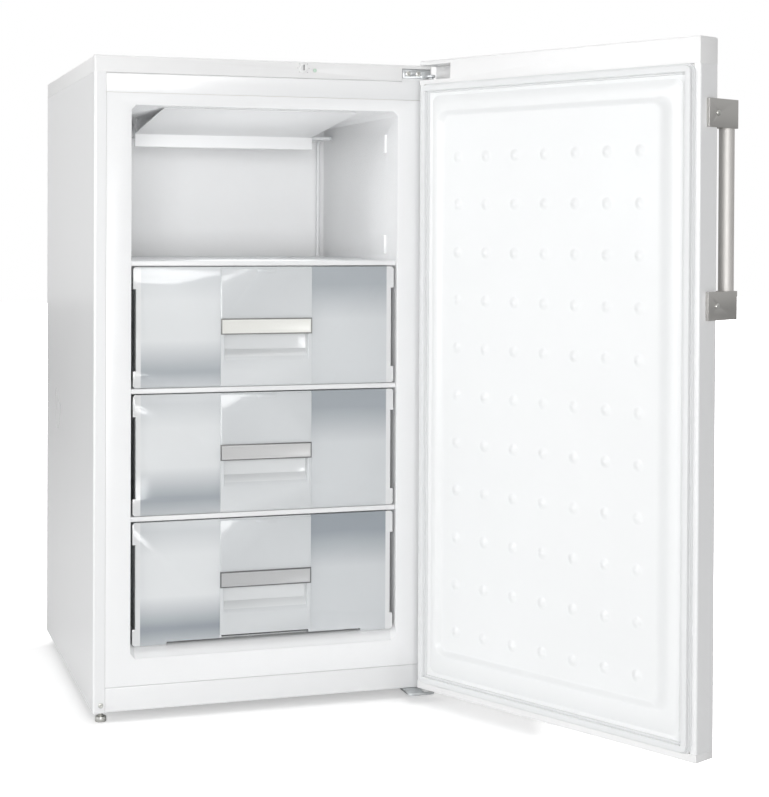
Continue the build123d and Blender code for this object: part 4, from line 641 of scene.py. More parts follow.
def rounded(low: Pair, high: Pair, radius: float, steps: int = 8) -> list[Pair]:
    """Points of a rectangle with round corners, anticlockwise.

    Args:
        low: Lower left corner.
        high: Upper right corner.
        radius: Of the corners.
        steps: Steps in each corner.

    Returns:
        Pairs of places.
    """
    points = []
    middles = ((high[0], high[1], 0), (low[0], high[1], 1), (low[0], low[1], 2), (high[0], low[1], 3))
    for x, y, corner in middles:
        centre = (x - math.copysign(radius, x - low[0] - 1e-9), y - math.copysign(radius, y - low[1] - 1e-9))
        for n in range(steps + 1):
            turn = math.radians(90 * (corner + n / steps))
            points.append((centre[0] + radius * math.cos(turn), centre[1] + radius * math.sin(turn)))
    return points


def legs(start: Point, *steps: tuple[int, float]) -> list[Point]:
    """Corners of a route that changes one coordinate at a time.

    Args:
        start: Its first corner.
        steps: For each further corner the axis that changes and the new value.

    Returns:
        The corners.
    """
    route = [start]
    for axis, value in steps:
        route.append((*route[-1][:axis], value, *route[-1][axis + 1:]))
    return route


class Shape:
    """A mesh under construction, made of rings of points."""

    def __init__(self) -> None:
        """An empty shape."""
        self.bm = bmesh.new()

    def loft(self, rings: Iterable[Iterable[Sequence[float]]], caps: tuple[int, ...] = (0, -1),
             closed: bool = False) -> "Shape":
        """Adds rings of the same count and joins neighbours with four-sided faces.

        Args:
            rings: The points of each ring.
            caps: Which rings are filled with one face.
            closed: The last ring also joins the first, and none is filled.

        Returns:
            The shape.
        """
        made = [[self.bm.verts.new(point) for point in ring] for ring in rings]
        for low, high in list(zip(made, made[1:])) + ([(made[-1], made[0])] if closed else []):
            for n, vert in enumerate(low):
                m = (n + 1) % len(low)
                self.bm.faces.new((vert, low[m], high[m], high[n]))
        for end in () if closed else caps:
            self.bm.faces.new(made[end])
        return self

    def turned(self, profile: Sequence[Pair], at: Matrix, sides: int = 32) -> "Shape":
        """Adds a closed solid of revolution.

        Args:
            profile: Radius and height pairs from end to end.
            at: Where its own origin and Z axis stand.
            sides: Count of sides.

        Returns:
            The shape.
        """
        return self.loft([[at @ Vector(p) for p in circle(*pair, sides)] for pair in profile])

    def mesh(self, name: str, place: Optional[Matrix] = None) -> bpy.types.Mesh:
        """Ends the shape.

        Args:
            name: The mesh's name.
            place: Turns and moves the points first.

        Returns:
            The mesh, its faces outwards and its doubles merged.
        """
        if place is not None:
            self.bm.transform(place)
        bmesh.ops.remove_doubles(self.bm, verts=self.bm.verts, dist=1e-6)
        bmesh.ops.recalc_face_normals(self.bm, faces=self.bm.faces)
        mesh = finished(self.bm, name)
        smooth(mesh)
        return mesh


class Growth(Tree):
    """A Geometry Nodes tree that is grown by script and ends as one plain mesh."""

    def __init__(self, name: str) -> None:
        """Starts the tree.

        Args:
            name: The name of the tree and of what it grows.
        """
        self.name = name
        super().__init__(bpy.data.node_groups.new(name, "GeometryNodeTree"))
        for way in ("INPUT", "OUTPUT"):
            self.tree.interface.new_socket("Geometry", in_out=way, socket_type="NodeSocketGeometry")
        self.entry = self.node("NodeGroupInput")
        self.values: dict[str, Any] = {}

    @property
    def given(self) -> bpy.types.NodeSocket:
        """The geometry of the object that carries the tree."""
        return self.entry.outputs["Geometry"]

    def sizes(self, **given: Any) -> list[Out]:
        """Adds named inputs.

        Args:
            given: Whole number, length or vector by name, where an underscore stands for a space.

        Returns:
            The inputs' outputs inside the tree.
        """
        kinds = {int: "NodeSocketInt", float: "NodeSocketFloat", tuple: "NodeSocketVector"}
        for key, value in given.items():
            kind = kinds[type(value)]
            item = self.tree.interface.new_socket(key.replace("_", " "), in_out="INPUT", socket_type=kind)
            self.values[item.identifier] = value
        return [Out(self, self.entry.outputs[key.replace("_", " ")]) for key in given]

    def repeated(self, points: Any, pattern: Any, **more: Any) -> Out:
        """The pattern at every point; more gives further inputs."""
        return self.out("GeometryNodeInstanceOnPoints", {"Points": points, "Instance": pattern, **more})

    def moved(self, what: Any, by: Any) -> Out:
        """The geometry, shifted."""
        return self.out("GeometryNodeTransform", {"Geometry": what, "Translation": by})

    def grid(self, across: Out, up: Out, columns: Any = 2, rows: Any = 2) -> Out:
        """Points in columns and rows about the origin."""
        values = {"Size X": across, "Size Y": up, "Vertices X": columns, "Vertices Y": rows}
        return self.out("GeometryNodeMeshGrid", values)

    def shape_of(self, pattern: bpy.types.Object) -> bpy.types.NodeSocket:
        """Another object's geometry."""
        return self.node("GeometryNodeObjectInfo", {"Object": pattern}).outputs["Geometry"]

    def mesh(self, grown: Out, finish: Finish, data: Any = None, seed: int = 7) -> bpy.types.Mesh:
        """Ends the tree, runs it once and takes it off.

        Args:
            grown: The geometry that the tree ends with.
            finish: Its finish.
            data: Mesh or curve that the tree starts from.
            seed: For anything random.

        Returns:
            The plain mesh.
        """
        self.sizes(Seed=seed)
        real = self.out("GeometryNodeRealizeInstances", {0: grown})
        painted = self.out("GeometryNodeSetMaterial", {0: real, "Material": finish.material()})
        self.node("NodeGroupOutput", {0: painted})
        holder = linked(self.name + "_holder", data or bpy.data.meshes.new(self.name))
        step = holder.modifiers.new(self.name, "NODES")
        step.node_group = self.tree
        for identifier, value in self.values.items():
            step[identifier] = value
        return baked(holder, 40.0)


# ---------------------------------------------------------------- sub-assemblies
class Assembly:
    """A sub-assembly, which hands its finished pieces over to the frame."""

    body: Body = Body.CABINET

    def build(self) -> None:
        """Makes and dresses the pieces."""
        raise NotImplementedError

    def deliver(self, name: str, made: Any, finish: Finish, *nodes: str, body: Optional[Body] = None) -> None:
        """Dresses a piece and lets it ride.

        Args:
            name: The piece's name.
            made: Its Shape or mesh, in place.
            finish: Its finish.
            nodes: The CAD nodes that it stands for.
            body: What it moves with, if not the sub-assembly's body.
        """
        mesh = made.mesh(name) if isinstance(made, Shape) else made
        body = body or self.body
        mesh.materials.clear()
        mesh.materials.append(finish.material())
        piece = linked(name, mesh)
        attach(piece, body.value)
        if nodes:
            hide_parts(*nodes)
        log.info("%s: %d faces, on %s", name, len(mesh.polygons), body.value)

    def softened(self, node: str, finish: Finish, edge: float, steps: int = 2) -> None:
        """Stands a copy with rounded edges for a CAD node.

        Args:
            node: The CAD node.
            finish: The copy's finish.
            edge: Width of the rounding.
            steps: Steps in the rounding.
        """
        bm = bmesh.new()
        bm.from_mesh(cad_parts[node].data)
        bmesh.ops.remove_doubles(bm, verts=bm.verts, dist=1e-5)
        bmesh.ops.dissolve_limit(bm, angle_limit=math.radians(1.0), verts=bm.verts, edges=bm.edges)
        holder = linked(node + "_raw", finished(bm, node))
        rounding = holder.modifiers.new("rounding", "BEVEL")
        rounding.width = edge
        rounding.segments = steps
        rounding.limit_method = "ANGLE"
        rounding.angle_limit = math.radians(28)
        rounding.use_clamp_overlap = True
        self.deliver(node + "_dressed", baked(holder, 50.0), finish, node)

    def carried(self, node: str, finish: Finish) -> None:
        """Dresses a CAD node that stays.

        Args:
            node: The CAD node.
            finish: Its finish.
        """
        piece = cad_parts[node]
        piece.data.materials.clear()
        piece.data.materials.append(finish.material())
        log.info("%s: CAD node in %s", node, finish.name)


@dataclass
class Tubing(Assembly):
    """One bent tube, grown along its route."""

    name: str
    route: list[Point]
    radius: float
    finish: Finish
    node: str
    bend: float = 0.010
    steps: int = 6
    sides: int = 12

    def build(self) -> None:
        """Grows the tube along the route with round bends."""
        line = bpy.data.curves.new(self.name, "CURVE")
        line.dimensions = "3D"
        run = line.splines.new("POLY")
        run.points.add(len(self.route) - 1)
        for point, place in zip(run.points, self.route):
            point.co = (*place, 1.0)
        tree = Growth(self.name)
        bend, radius, steps, sides = tree.sizes(
            Bend_radius=self.bend, Tube_radius=self.radius, Steps_in_a_bend=self.steps, Sides=self.sides
        )
        values = {"Curve": tree.given, "Count": steps, "Radius": bend}
        bent = tree.out("GeometryNodeFilletCurve", values, mode="POLY")
        section = tree.out("GeometryNodeCurvePrimitiveCircle", {"Resolution": sides, "Radius": radius})
        values = {"Curve": bent, "Profile Curve": section, "Fill Caps": True}
        swept = tree.out("GeometryNodeCurveToMesh", values)
        self.deliver(self.name + "_round", tree.mesh(swept, self.finish, line), self.finish, self.node)


@dataclass
class Screws(Assembly):
    """Pan head screws with a cross recess, each at a place and facing a way, all of one body."""

    name: str
    places: list[tuple[Point, Point]]
    node: str
    body: Body = Body.CABINET
    length: float = 0.0078
    head: float = 0.004
    rise: float = 0.0016
    shank: float = 0.0021
    cross: Pair = (0.62, 0.11)  # shares of the head: the recess's arm and half width

    def pattern(self) -> bpy.types.Object:
        """Turns the screw that is repeated.

        Returns:
            It, at the origin, its head up.
        """
        shape = Shape()
        head = [(self.shank, -self.length), (self.shank, 0.0), (self.head, 0.0), (self.head, self.rise * 0.45)]
        for turn in quarter(5)[1:5]:
            head.append((self.head * math.cos(turn * 0.8), self.rise * (0.45 + 0.55 * math.sin(turn))))
        head += [(self.head * 0.34, self.rise), (self.head * 0.3, self.rise * 0.94)]
        shape.turned(head, Matrix.Identity(4), 20)
        arm, half = (self.head * share for share in self.cross)
        for turn in (0.0, math.pi / 2):
            corners = box((-arm, -half), (arm, half))
            heights = (self.rise * 0.7, self.rise * 1.02)
            shape.loft(raised(corners, heights, Matrix.Rotation(turn, 4, "Z")))
        return linked(self.name + "_pattern", shape.mesh(self.name + "_pattern"))

    def build(self) -> None:
        """Sets a screw at each place."""
        pattern = self.pattern()
        points = bpy.data.meshes.new(self.name)
        points.from_pydata([place for place, _ in self.places], [], [])
        facing = points.attributes.new("facing", "FLOAT_VECTOR", "POINT")
        facing.data.foreach_set("vector", [part for _, way in self.places for part in way])
        tree = Growth(self.name)
        (scale,) = tree.sizes(Scale=1.0)
        way = tree.out("GeometryNodeInputNamedAttribute", {"Name": "facing"}, data_type="FLOAT_VECTOR")
        aim = tree.out("FunctionNodeAlignRotationToVector", {"Vector": way}, axis="Z")
        placed = tree.repeated(tree.given, tree.shape_of(pattern), Rotation=aim, Scale=scale)
        mesh = tree.mesh(placed, Look.SCREW, points)
        bpy.data.objects.remove(pattern)
        self.deliver(self.name, mesh, Look.SCREW, self.node)


@dataclass
class Cabinet(Assembly):
    """Painted shell, caps, rails and the moulded liner."""

    screw_x: Pair = (-0.008, 0.511)
    screw_z: float = 0.0276
    front: float = -0.535
    fold: float = 0.0004
    sheet_edge: float = 0.0005
    edge: float = 0.0012
    trim_edge: float = 0.001
    liner_edge: float = 0.006

    def build(self) -> None:
        """Dresses the shell."""
        for node in ("left_side_panel", "right_side_panel", "top_panel"):
            self.carried(node, Look.BODY)
        for node in ("header_rail", "plinth_rail"):
            self.softened(node, Look.BODY, self.fold)
        for node in ("top_cap", "control_fascia"):
            self.softened(node, Look.CAP, self.edge, 3)
        self.softened("inner_liner", Look.LINER, self.liner_edge, 4)
        self.softened("ceiling_cover", Look.TRIM, self.trim_edge, 3)
        self.softened("ceiling_evaporator_plate", Look.ALUMINIUM, self.sheet_edge)
        for n in (1, 2, 3):
            self.softened(f"shelf_{n}_plate", Look.ALUMINIUM, self.fold)
            self.softened(f"shelf_{n}_trim", Look.TRIM, self.trim_edge, 3)
        self.carried("insulation_foam", Look.FOAM)
        self.carried("machine_bay_panel", Look.ZINC)
        self.softened("back_panel", Look.ZINC, self.trim_edge)
        self.softened("base_tray", Look.ZINC, self.sheet_edge)
        spots = [((x, self.front, self.screw_z), (0, -1, 0)) for x in self.screw_x]
        Screws("flange_screw_heads", spots, "flange_screws").build()


@dataclass
class Controls(Assembly):
    """Thermostat dial with its pointer and ticks, and the indicator lens."""

    dial: Point = (0.308, -0.5365, 1.0105)
    radius: float = 0.0073
    height: float = 0.0038
    lift: float = 0.0004
    stem: float = 0.0029
    stem_length: float = 0.022
    flutes: int = 36
    flute: float = 0.035  # share of the radius
    # shares of the height and of the radius
    outline: tuple[Pair, ...] = ((0, 1.0), (0.75, 0.97), (0.93, 0.92), (1, 0.82), (1, 0.6), (0.92, 0.54))
    pointer: tuple[Pair, Pair] = ((-0.0009, -0.0036), (0.0009, 0.0052))
    pointer_rise: Pair = (0.8, 1.08)  # shares of the height
    ticks: int = 7
    sweep: float = 270.0
    tick: Pair = (0.0003, 0.0012)  # half width, and length and gap
    tick_rise: Pair = (-0.0002, 0.00012)
    tick_grows: float = 0.0004
    tick_reach: float = 0.0098  # up to the fascia's edge
    lens: Point = (0.327, -0.5365, 1.0075)
    lens_radius: float = 0.0029
    lens_outline: tuple[Pair, ...] = ((1, -0.005), (1, 0.0002), (0.93, 0.0004), (0.75, 0.00054), (0.4, 0.0006))

    def build(self) -> None:
        """Makes the dial, the ticks round it and the lens."""
        at = Matrix.Translation(self.dial) @ FORWARD
        rings = []
        for height, share in self.outline:
            ring = []
            for n in range(self.flutes * 2):
                turn = math.pi * n / self.flutes
                reach = self.radius * share * (1.0 - (self.flute if n % 2 and share > 0.9 else 0.0))
                place = (reach * math.cos(turn), reach * math.sin(turn), self.lift + self.height * height)
                ring.append(at @ Vector(place))
            rings.append(ring)
        stem = [(self.stem, -self.stem_length), (self.stem, self.lift + 0.0005)]
        knob = Shape().loft(rings).turned(stem, at, 20)
        self.deliver("dial_knob", knob, Look.CAP, "thermostat_dial", body=Body.DIAL)
        heights = [self.lift + self.height * share for share in self.pointer_rise]
        pointer = Shape().loft(raised(box(*self.pointer), heights, at))
        self.deliver("dial_pointer", pointer, Look.INK, body=Body.DIAL)
        marks = Shape()
        half, gap = self.tick
        start = self.radius + gap
        for n in range(self.ticks):
            turn = math.radians(-self.sweep / 2 + self.sweep * n / (self.ticks - 1))
            end = start + gap + self.tick_grows * n / self.ticks
            if end * math.cos(turn) < self.tick_reach:
                spin = at @ Matrix.Rotation(-turn, 4, "Z")
                marks.loft(raised(box((-half, start), (half, end)), self.tick_rise, spin))
        self.deliver("dial_ticks", marks, Look.INK)
        profile = [(self.lens_radius * share, z) for share, z in self.lens_outline]
        bead = Shape().turned(profile, Matrix.Translation(self.lens) @ FORWARD, 28)
        self.deliver("lens_bead", bead, Look.LENS, "indicator_lens")
        self.carried("thermostat_body", Look.BUSHING)


@dataclass
class Cooling(Assembly):
    """The evaporator tube under the shelves and its risers."""

    risers: Pair = (0.439, 0.453)
    riser_y: float = -0.109
    back: float = -0.0945
    opening_left: float = 0.037
    first_run: float = -0.157
    tube: float = 0.003
    levels: tuple[float, ...] = (0.7024, 0.5054, 0.3084)
    pitch: float = 0.084
    edge: float = 0.018
    ceiling: float = 0.9186
    ceiling_pitch: float = 0.040
    ceiling_edge: float = 0.070
    turn_in: float = 0.007

    def level(self, z: float, runs: int, pitch: float, edge: float) -> list[Point]:
        """Corners of one level, from the inner riser to the outer one.

        Args:
            z: Its height.
            runs: Count of runs across.
            pitch: From run to run.
            edge: From the cavity's left wall to the turns.

        Returns:
            The corners.
        """
        left = self.opening_left + edge
        corners = [(self.risers[0], self.riser_y, z), (self.risers[0], self.first_run, z)]
        for n in range(0, runs, 2):
            out = self.first_run - n * pitch
            side = self.risers[0] - self.turn_in if n + 2 < runs else self.risers[1]
            corners += [(left, out, z), (left, out - pitch, z), (side, out - pitch, z)]
            if n + 2 < runs:
                corners.append((side, out - 2 * pitch, z))
        return corners + [(self.risers[1], self.riser_y, z)]

    def build(self) -> None:
        """Grows the tube."""
        route = self.level(self.ceiling, 2, self.ceiling_pitch, self.ceiling_edge)
        route[0] = (self.risers[0], self.back, self.ceiling)
        for n, z in enumerate(self.levels):
            corners = self.level(z, 4, self.pitch, self.edge)
            route += corners if n % 2 else corners[::-1]
        route[-1] = (route[-1][0], self.back, route[-1][2])
        Tubing("cooling_tube", route, self.tube, Look.ALUMINIUM, "evaporator_tube").build()


@dataclass
class Condenser(Assembly):
    """Tube and wires on the back, with the drier and the lines to the compressor."""

    left: float = 0.028
    right: float = 0.475
    y: float = 0.007
    top: float = 0.951
    bottom: float = 0.343
    runs: int = 9
    bracket_edge: float = 0.0006
    tube: float = 0.0025
    bend: float = 0.012
    drier_top: float = 0.290
    drier_length: float = 0.090
    drier_radius: float = 0.0088
    drier_neck: float = 0.003
    drier_lip: Pair = (0.0028, 0.005)  # its radius, and the neck's length
    drier_shoulder: float = 0.011
    # beyond the radius, and over the lower end
    drier_groove: tuple[Pair, ...] = ((0.0, 0.03), (-0.0004, 0.031), (0.0, 0.032))
    wires: int = 15
    wire: float = 0.0008
    wire_edge: float = 0.0275
    overhang: float = 0.014
    rise: float = 0.025
    stub_x: Pair = (0.305, 0.401)
    stub_y: float = -0.045
    stub_top: float = 0.1955
    line_edge: float = 0.503
    bay_roof: float = 0.246
    liquid_y: float = -0.080
    suction_x: float = 0.200
    suction_tube: float = 0.004

    def build(self) -> None:
        """Makes the tubes, wires and drier."""
        pitch = (self.top - self.bottom) / (self.runs - 1)
        route: list[Point] = []
        for n in range(self.runs):
            ends = (self.left, self.right) if n % 2 else (self.right, self.left)
            route += [(x, self.y, self.top - n * pitch) for x in ends]
        route.append((self.left, self.y, self.drier_top))
        Tubing("condenser_run", route, self.tube, Look.BLACK_PAINT, "condenser_tube", self.bend).build()
        high, foot = self.stub_top + self.rise, self.drier_top - self.drier_length
        steps = ((2, high), (1, self.y), (0, self.line_edge), (2, self.top), (0, self.right))
        discharge = legs((self.stub_x[1], self.stub_y, self.stub_top), *steps)
        steps = ((2, foot - self.rise), (1, self.liquid_y), (2, self.bay_roof))
        liquid = legs((self.left, self.y, foot), *steps)
        steps = ((2, high), (0, self.suction_x), (2, self.bay_roof))
        suction = legs((self.stub_x[0], self.stub_y, self.stub_top), *steps)
        lines = (("discharge", discharge, self.tube), ("liquid", liquid, self.tube))
        for name, route, radius in (*lines, ("suction", suction, self.suction_tube)):
            Tubing(name + "_run", route, radius, Look.COPPER, name + "_line").build()
        self.drier()
        self.grid()
        self.softened("condenser_brackets", Look.BLACK_PAINT, self.bracket_edge)

    def drier(self) -> None:
        """Turns the filter drier with its drawn-in ends."""
        r, neck, length = self.drier_radius, self.drier_neck, self.drier_length
        lip, start = self.drier_lip
        profile = [(lip, 0.0), (neck, start)]
        for turn in quarter(6):
            rise = self.drier_shoulder * (1 - math.cos(turn))
            profile.append((neck + (r - neck) * math.sin(turn), start + rise))
        ends = [(radius, length - height) for radius, height in profile[::-1]]
        profile += [(r + more, z) for more, z in self.drier_groove] + ends
        shape = Shape().turned(profile, Matrix.Translation((self.left, self.y, self.drier_top - length)), 32)
        self.deliver("drier_shell", shape, Look.COPPER, "filter_drier")

    def grid(self) -> None:
        """Grows the two layers of upright wires."""
        tree = Growth("condenser_grid")
        span = self.right - self.left - 2 * self.wire_edge
        gap = self.tube + 2 * self.wire
        low, high = self.bottom - self.overhang, self.top + self.overhang
        count, radius, length, step, start, layer = tree.sizes(
            Wires=self.wires,
            Wire_radius=self.wire,
            Wire_length=high - low,
            Step=(span / (self.wires - 1), 0.0, 0.0),
            First_wire=(self.left + self.wire_edge, self.y - gap, (low + high) / 2),
            Between_layers=(0.0, 2 * gap, 0.0),
        )
        row = tree.out("GeometryNodeMeshLine", {"Count": count, "Start Location": start, "Offset": step})
        wire = tree.out("GeometryNodeMeshCylinder", {"Vertices": 8, "Radius": radius, "Depth": length})
        front = tree.repeated(row, wire)
        both = tree.node("GeometryNodeJoinGeometry")
        for source in (front, tree.moved(front, layer)):
            tree.plug(source, both.inputs[0])
        mesh = tree.mesh(Out(tree, both.outputs[0]), Look.BLACK_PAINT)
        self.deliver("condenser_grid", mesh, Look.BLACK_PAINT, "condenser_wires")


@dataclass
class Compressor(Assembly):
    """Hermetic compressor on its rubber grommets."""

    middle: Pair = (0.353, -0.075)
    reach: Pair = (0.092, 0.066)
    low: float = 0.0355
    height: float = 0.150
    round: float = 0.040
    lean: float = 0.62  # share of the rounding that goes inwards
    weld: Pair = (0.0028, 0.004)
    plate: Point = (0.107, 0.058, 0.003)
    stub: Point = (0.048, 0.030, 0.0045)
    # section of a stub: beyond its radius, and over the shell's top
    stub_outline: tuple[Pair, ...] = ((0.003, -0.020), (0.003, -0.004), (0.0, -0.001), (0.0, 0.0098))
    grommets: Pair = (0.188, 0.090)
    grommet: tuple[Pair, ...] = (
        (0.0033, 0.0), (0.0085, 0.0), (0.0098, 0.0012), (0.0098, 0.0038), (0.0078, 0.005),
        (0.0078, 0.007), (0.0098, 0.0082), (0.0098, 0.0108), (0.0085, 0.012), (0.0033, 0.012),
    )
    tray: float = 0.0205
    cover_edge: float = 0.002
    sides: int = 64
    squareness: float = 0.88

    def build(self) -> None:
        """Makes the shell, its weld, base plate and stubs, and the grommets."""
        top, middle = self.low + self.height, self.low + self.height / 2
        curve = [(self.round * (1 - math.cos(t)), self.round * (1 - math.sin(t)) * self.lean) for t in quarter(8)]
        bead, tall = self.weld
        levels = [(self.low + rise, inset) for rise, inset in curve]
        levels += [(middle, 0.0), (middle, -bead), (middle + tall, -bead), (middle + tall, 0.0)]
        levels += [(top - rise, inset) for rise, inset in curve[::-1]]
        shape = Shape().loft(self.oval(z, inset) for z, inset in levels)
        x, y, thick = self.plate
        at = Matrix.Translation((*self.middle, 0.0))
        shape.loft(raised(rounded((-x, -y), (x, y), 0.012), (self.low - thick, self.low), at))
        profile = [(self.stub[2] + more, top + z) for more, z in self.stub_outline]
        for side in (-1, 1):
            shape.turned(profile, at @ Matrix.Translation((side * self.stub[0], self.stub[1], 0.0)), 24)
        self.deliver("compressor_shell", shape, Look.BLACK_PAINT, "compressor")
        self.feet()
        self.softened("relay_cover", Look.RELAY, self.cover_edge, 3)

    def oval(self, z: float, inset: float) -> list[Point]:
        """One ring of the shell.

        Args:
            z: Its height.
            inset: How far in from the widest ring it lies.

        Returns:
            Its points.
        """
        points = []
        for n in range(self.sides):
            turn = 2 * math.pi * n / self.sides
            c, s = math.cos(turn), math.sin(turn)
            x = math.copysign(abs(c) ** self.squareness, c) * (self.reach[0] - inset)
            y = math.copysign(abs(s) ** self.squareness, s) * (self.reach[1] - inset)
            points.append((self.middle[0] + x, self.middle[1] + y, z))
        return points

    def feet(self) -> None:
        """Grows the four ribbed grommets."""
        tree = Growth("grommets")
        across, along, _ = tree.split(*tree.sizes(Spread=(*self.grommets, 0.0)))
        shape = Shape().loft([circle(*pair, 28) for pair in self.grommet], closed=True)
        pattern = linked("grommet_pattern", shape.mesh("grommet_pattern"))
        placed = tree.repeated(tree.grid(across, along), tree.shape_of(pattern))
        mesh = tree.mesh(tree.moved(placed, (*self.middle, self.tray)), Look.RUBBER)
        bpy.data.objects.remove(pattern)
        self.deliver("grommets", mesh, Look.RUBBER, "compressor_grommets")


@dataclass
class Feet(Assembly):
    """Two fixed feet behind and two that screw in and out in front."""

    rear: tuple[Point, ...] = ((0.0, 0.0, 0.0), (0.503, 0.0, 0.0))
    rear_radius: float = 0.0118
    # outlines: shares of the radius, and heights
    rear_outline: tuple[Pair, ...] = ((0.8, 0.0), (0.9, 0.0003), (0.98, 0.0016), (0.95, 0.0095), (0.88, 0.0187))
    front: tuple[Point, ...] = ((-0.006, -0.521, 0.0), (0.509, -0.521, 0.0))
    pad: float = 0.0088
    pad_outline: tuple[Pair, ...] = (
        (0.8, 0.0), (0.95, 0.0004), (1.0, 0.0014), (1.0, 0.006), (0.96, 0.0082), (0.8, 0.009),
    )
    stud: float = 0.00395
    stud_top: float = 0.032
    thread: Pair = (0.00125, 0.0005)  # pitch and depth
    nut_edge: float = 0.0005

    def build(self) -> None:
        """Turns the feet."""
        profile = [(self.rear_radius * share, z) for share, z in self.rear_outline]
        for place, node in zip(self.rear, ("rear_left_foot", "rear_right_foot")):
            self.deliver(node + "_turned", Shape().turned(profile, Matrix.Translation(place), 36), Look.RUBBER, node)
        profile = [(self.pad * share, z) for share, z in self.pad_outline]
        h = self.pad_outline[-1][1]
        pitch, deep = self.thread
        threads = [(self.stud, h - 0.0004)]
        for n in range(int((self.stud_top - h) / pitch)):
            z = h + 0.0003 + n * pitch
            threads += [(self.stud, z), (self.stud - deep, z + 0.0006)]
        threads.append((self.stud - 0.0008, self.stud_top))
        fronts = (("front_left_foot", Body.LEFT_FOOT), ("front_right_foot", Body.RIGHT_FOOT))
        for place, (node, body) in zip(self.front, fronts):
            at = Matrix.Translation(place)
            shape = Shape().turned(profile, at, 36).turned(threads, at, 24)
            self.deliver(node + "_turned", shape, Look.SCREW, node, body=body)
        self.softened("foot_nuts", Look.SCREW, self.nut_edge)


@dataclass
class Hinges(Assembly):
    """Hinge brackets on the cabinet and their screws."""

    upper_x: Pair = (0.499, 0.482)
    upper_y: float = -0.538
    upper_z: float = 1.007
    lower_x: float = 0.485
    lower_y: Pair = (-0.525, -0.511)
    lower_z: float = 0.012
    edge: float = 0.0006

    def build(self) -> None:
        """Dresses the brackets and sets the screws."""
        for node in ("upper_hinge_bracket", "lower_hinge_bracket"):
            self.softened(node, Look.ZINC, self.edge)
        spots = [((x, self.upper_y, self.upper_z), (0, -1, 0)) for x in self.upper_x]
        spots += [((self.lower_x, y, self.lower_z), (0, 0, -1)) for y in self.lower_y]
        Screws("hinge_screw_heads", spots, "hinge_screws").build()


# ---------------------------------------------------------------- door
class DoorPart(Assembly):
    """A sub-assembly of the open door, drawn in the door's own axes."""

    body = Body.DOOR
    axis = (0.513, -0.560, 0.0)
    opened = 116.0  # degrees
    inner = -0.015
    free_edge = 0.533
    place = Matrix.Translation(axis) @ Matrix.Rotation(math.radians(opened - 180.0), 4, "Z")


@dataclass
class DoorShell(DoorPart):
    """Painted skin, end caps, foam and bushings of the door."""

    cap_edge: float = 0.0009
    bushing_edge: float = 0.0004

    def build(self) -> None:
        """Dresses the shell."""
        self.carried("door_skin", Look.BODY)
        for node in ("door_top_cap", "door_bottom_cap"):
            self.softened(node, Look.CAP, self.cap_edge, 3)
        self.carried("door_foam", Look.FOAM)
        self.softened("hinge_bushings", Look.BUSHING, self.bushing_edge)


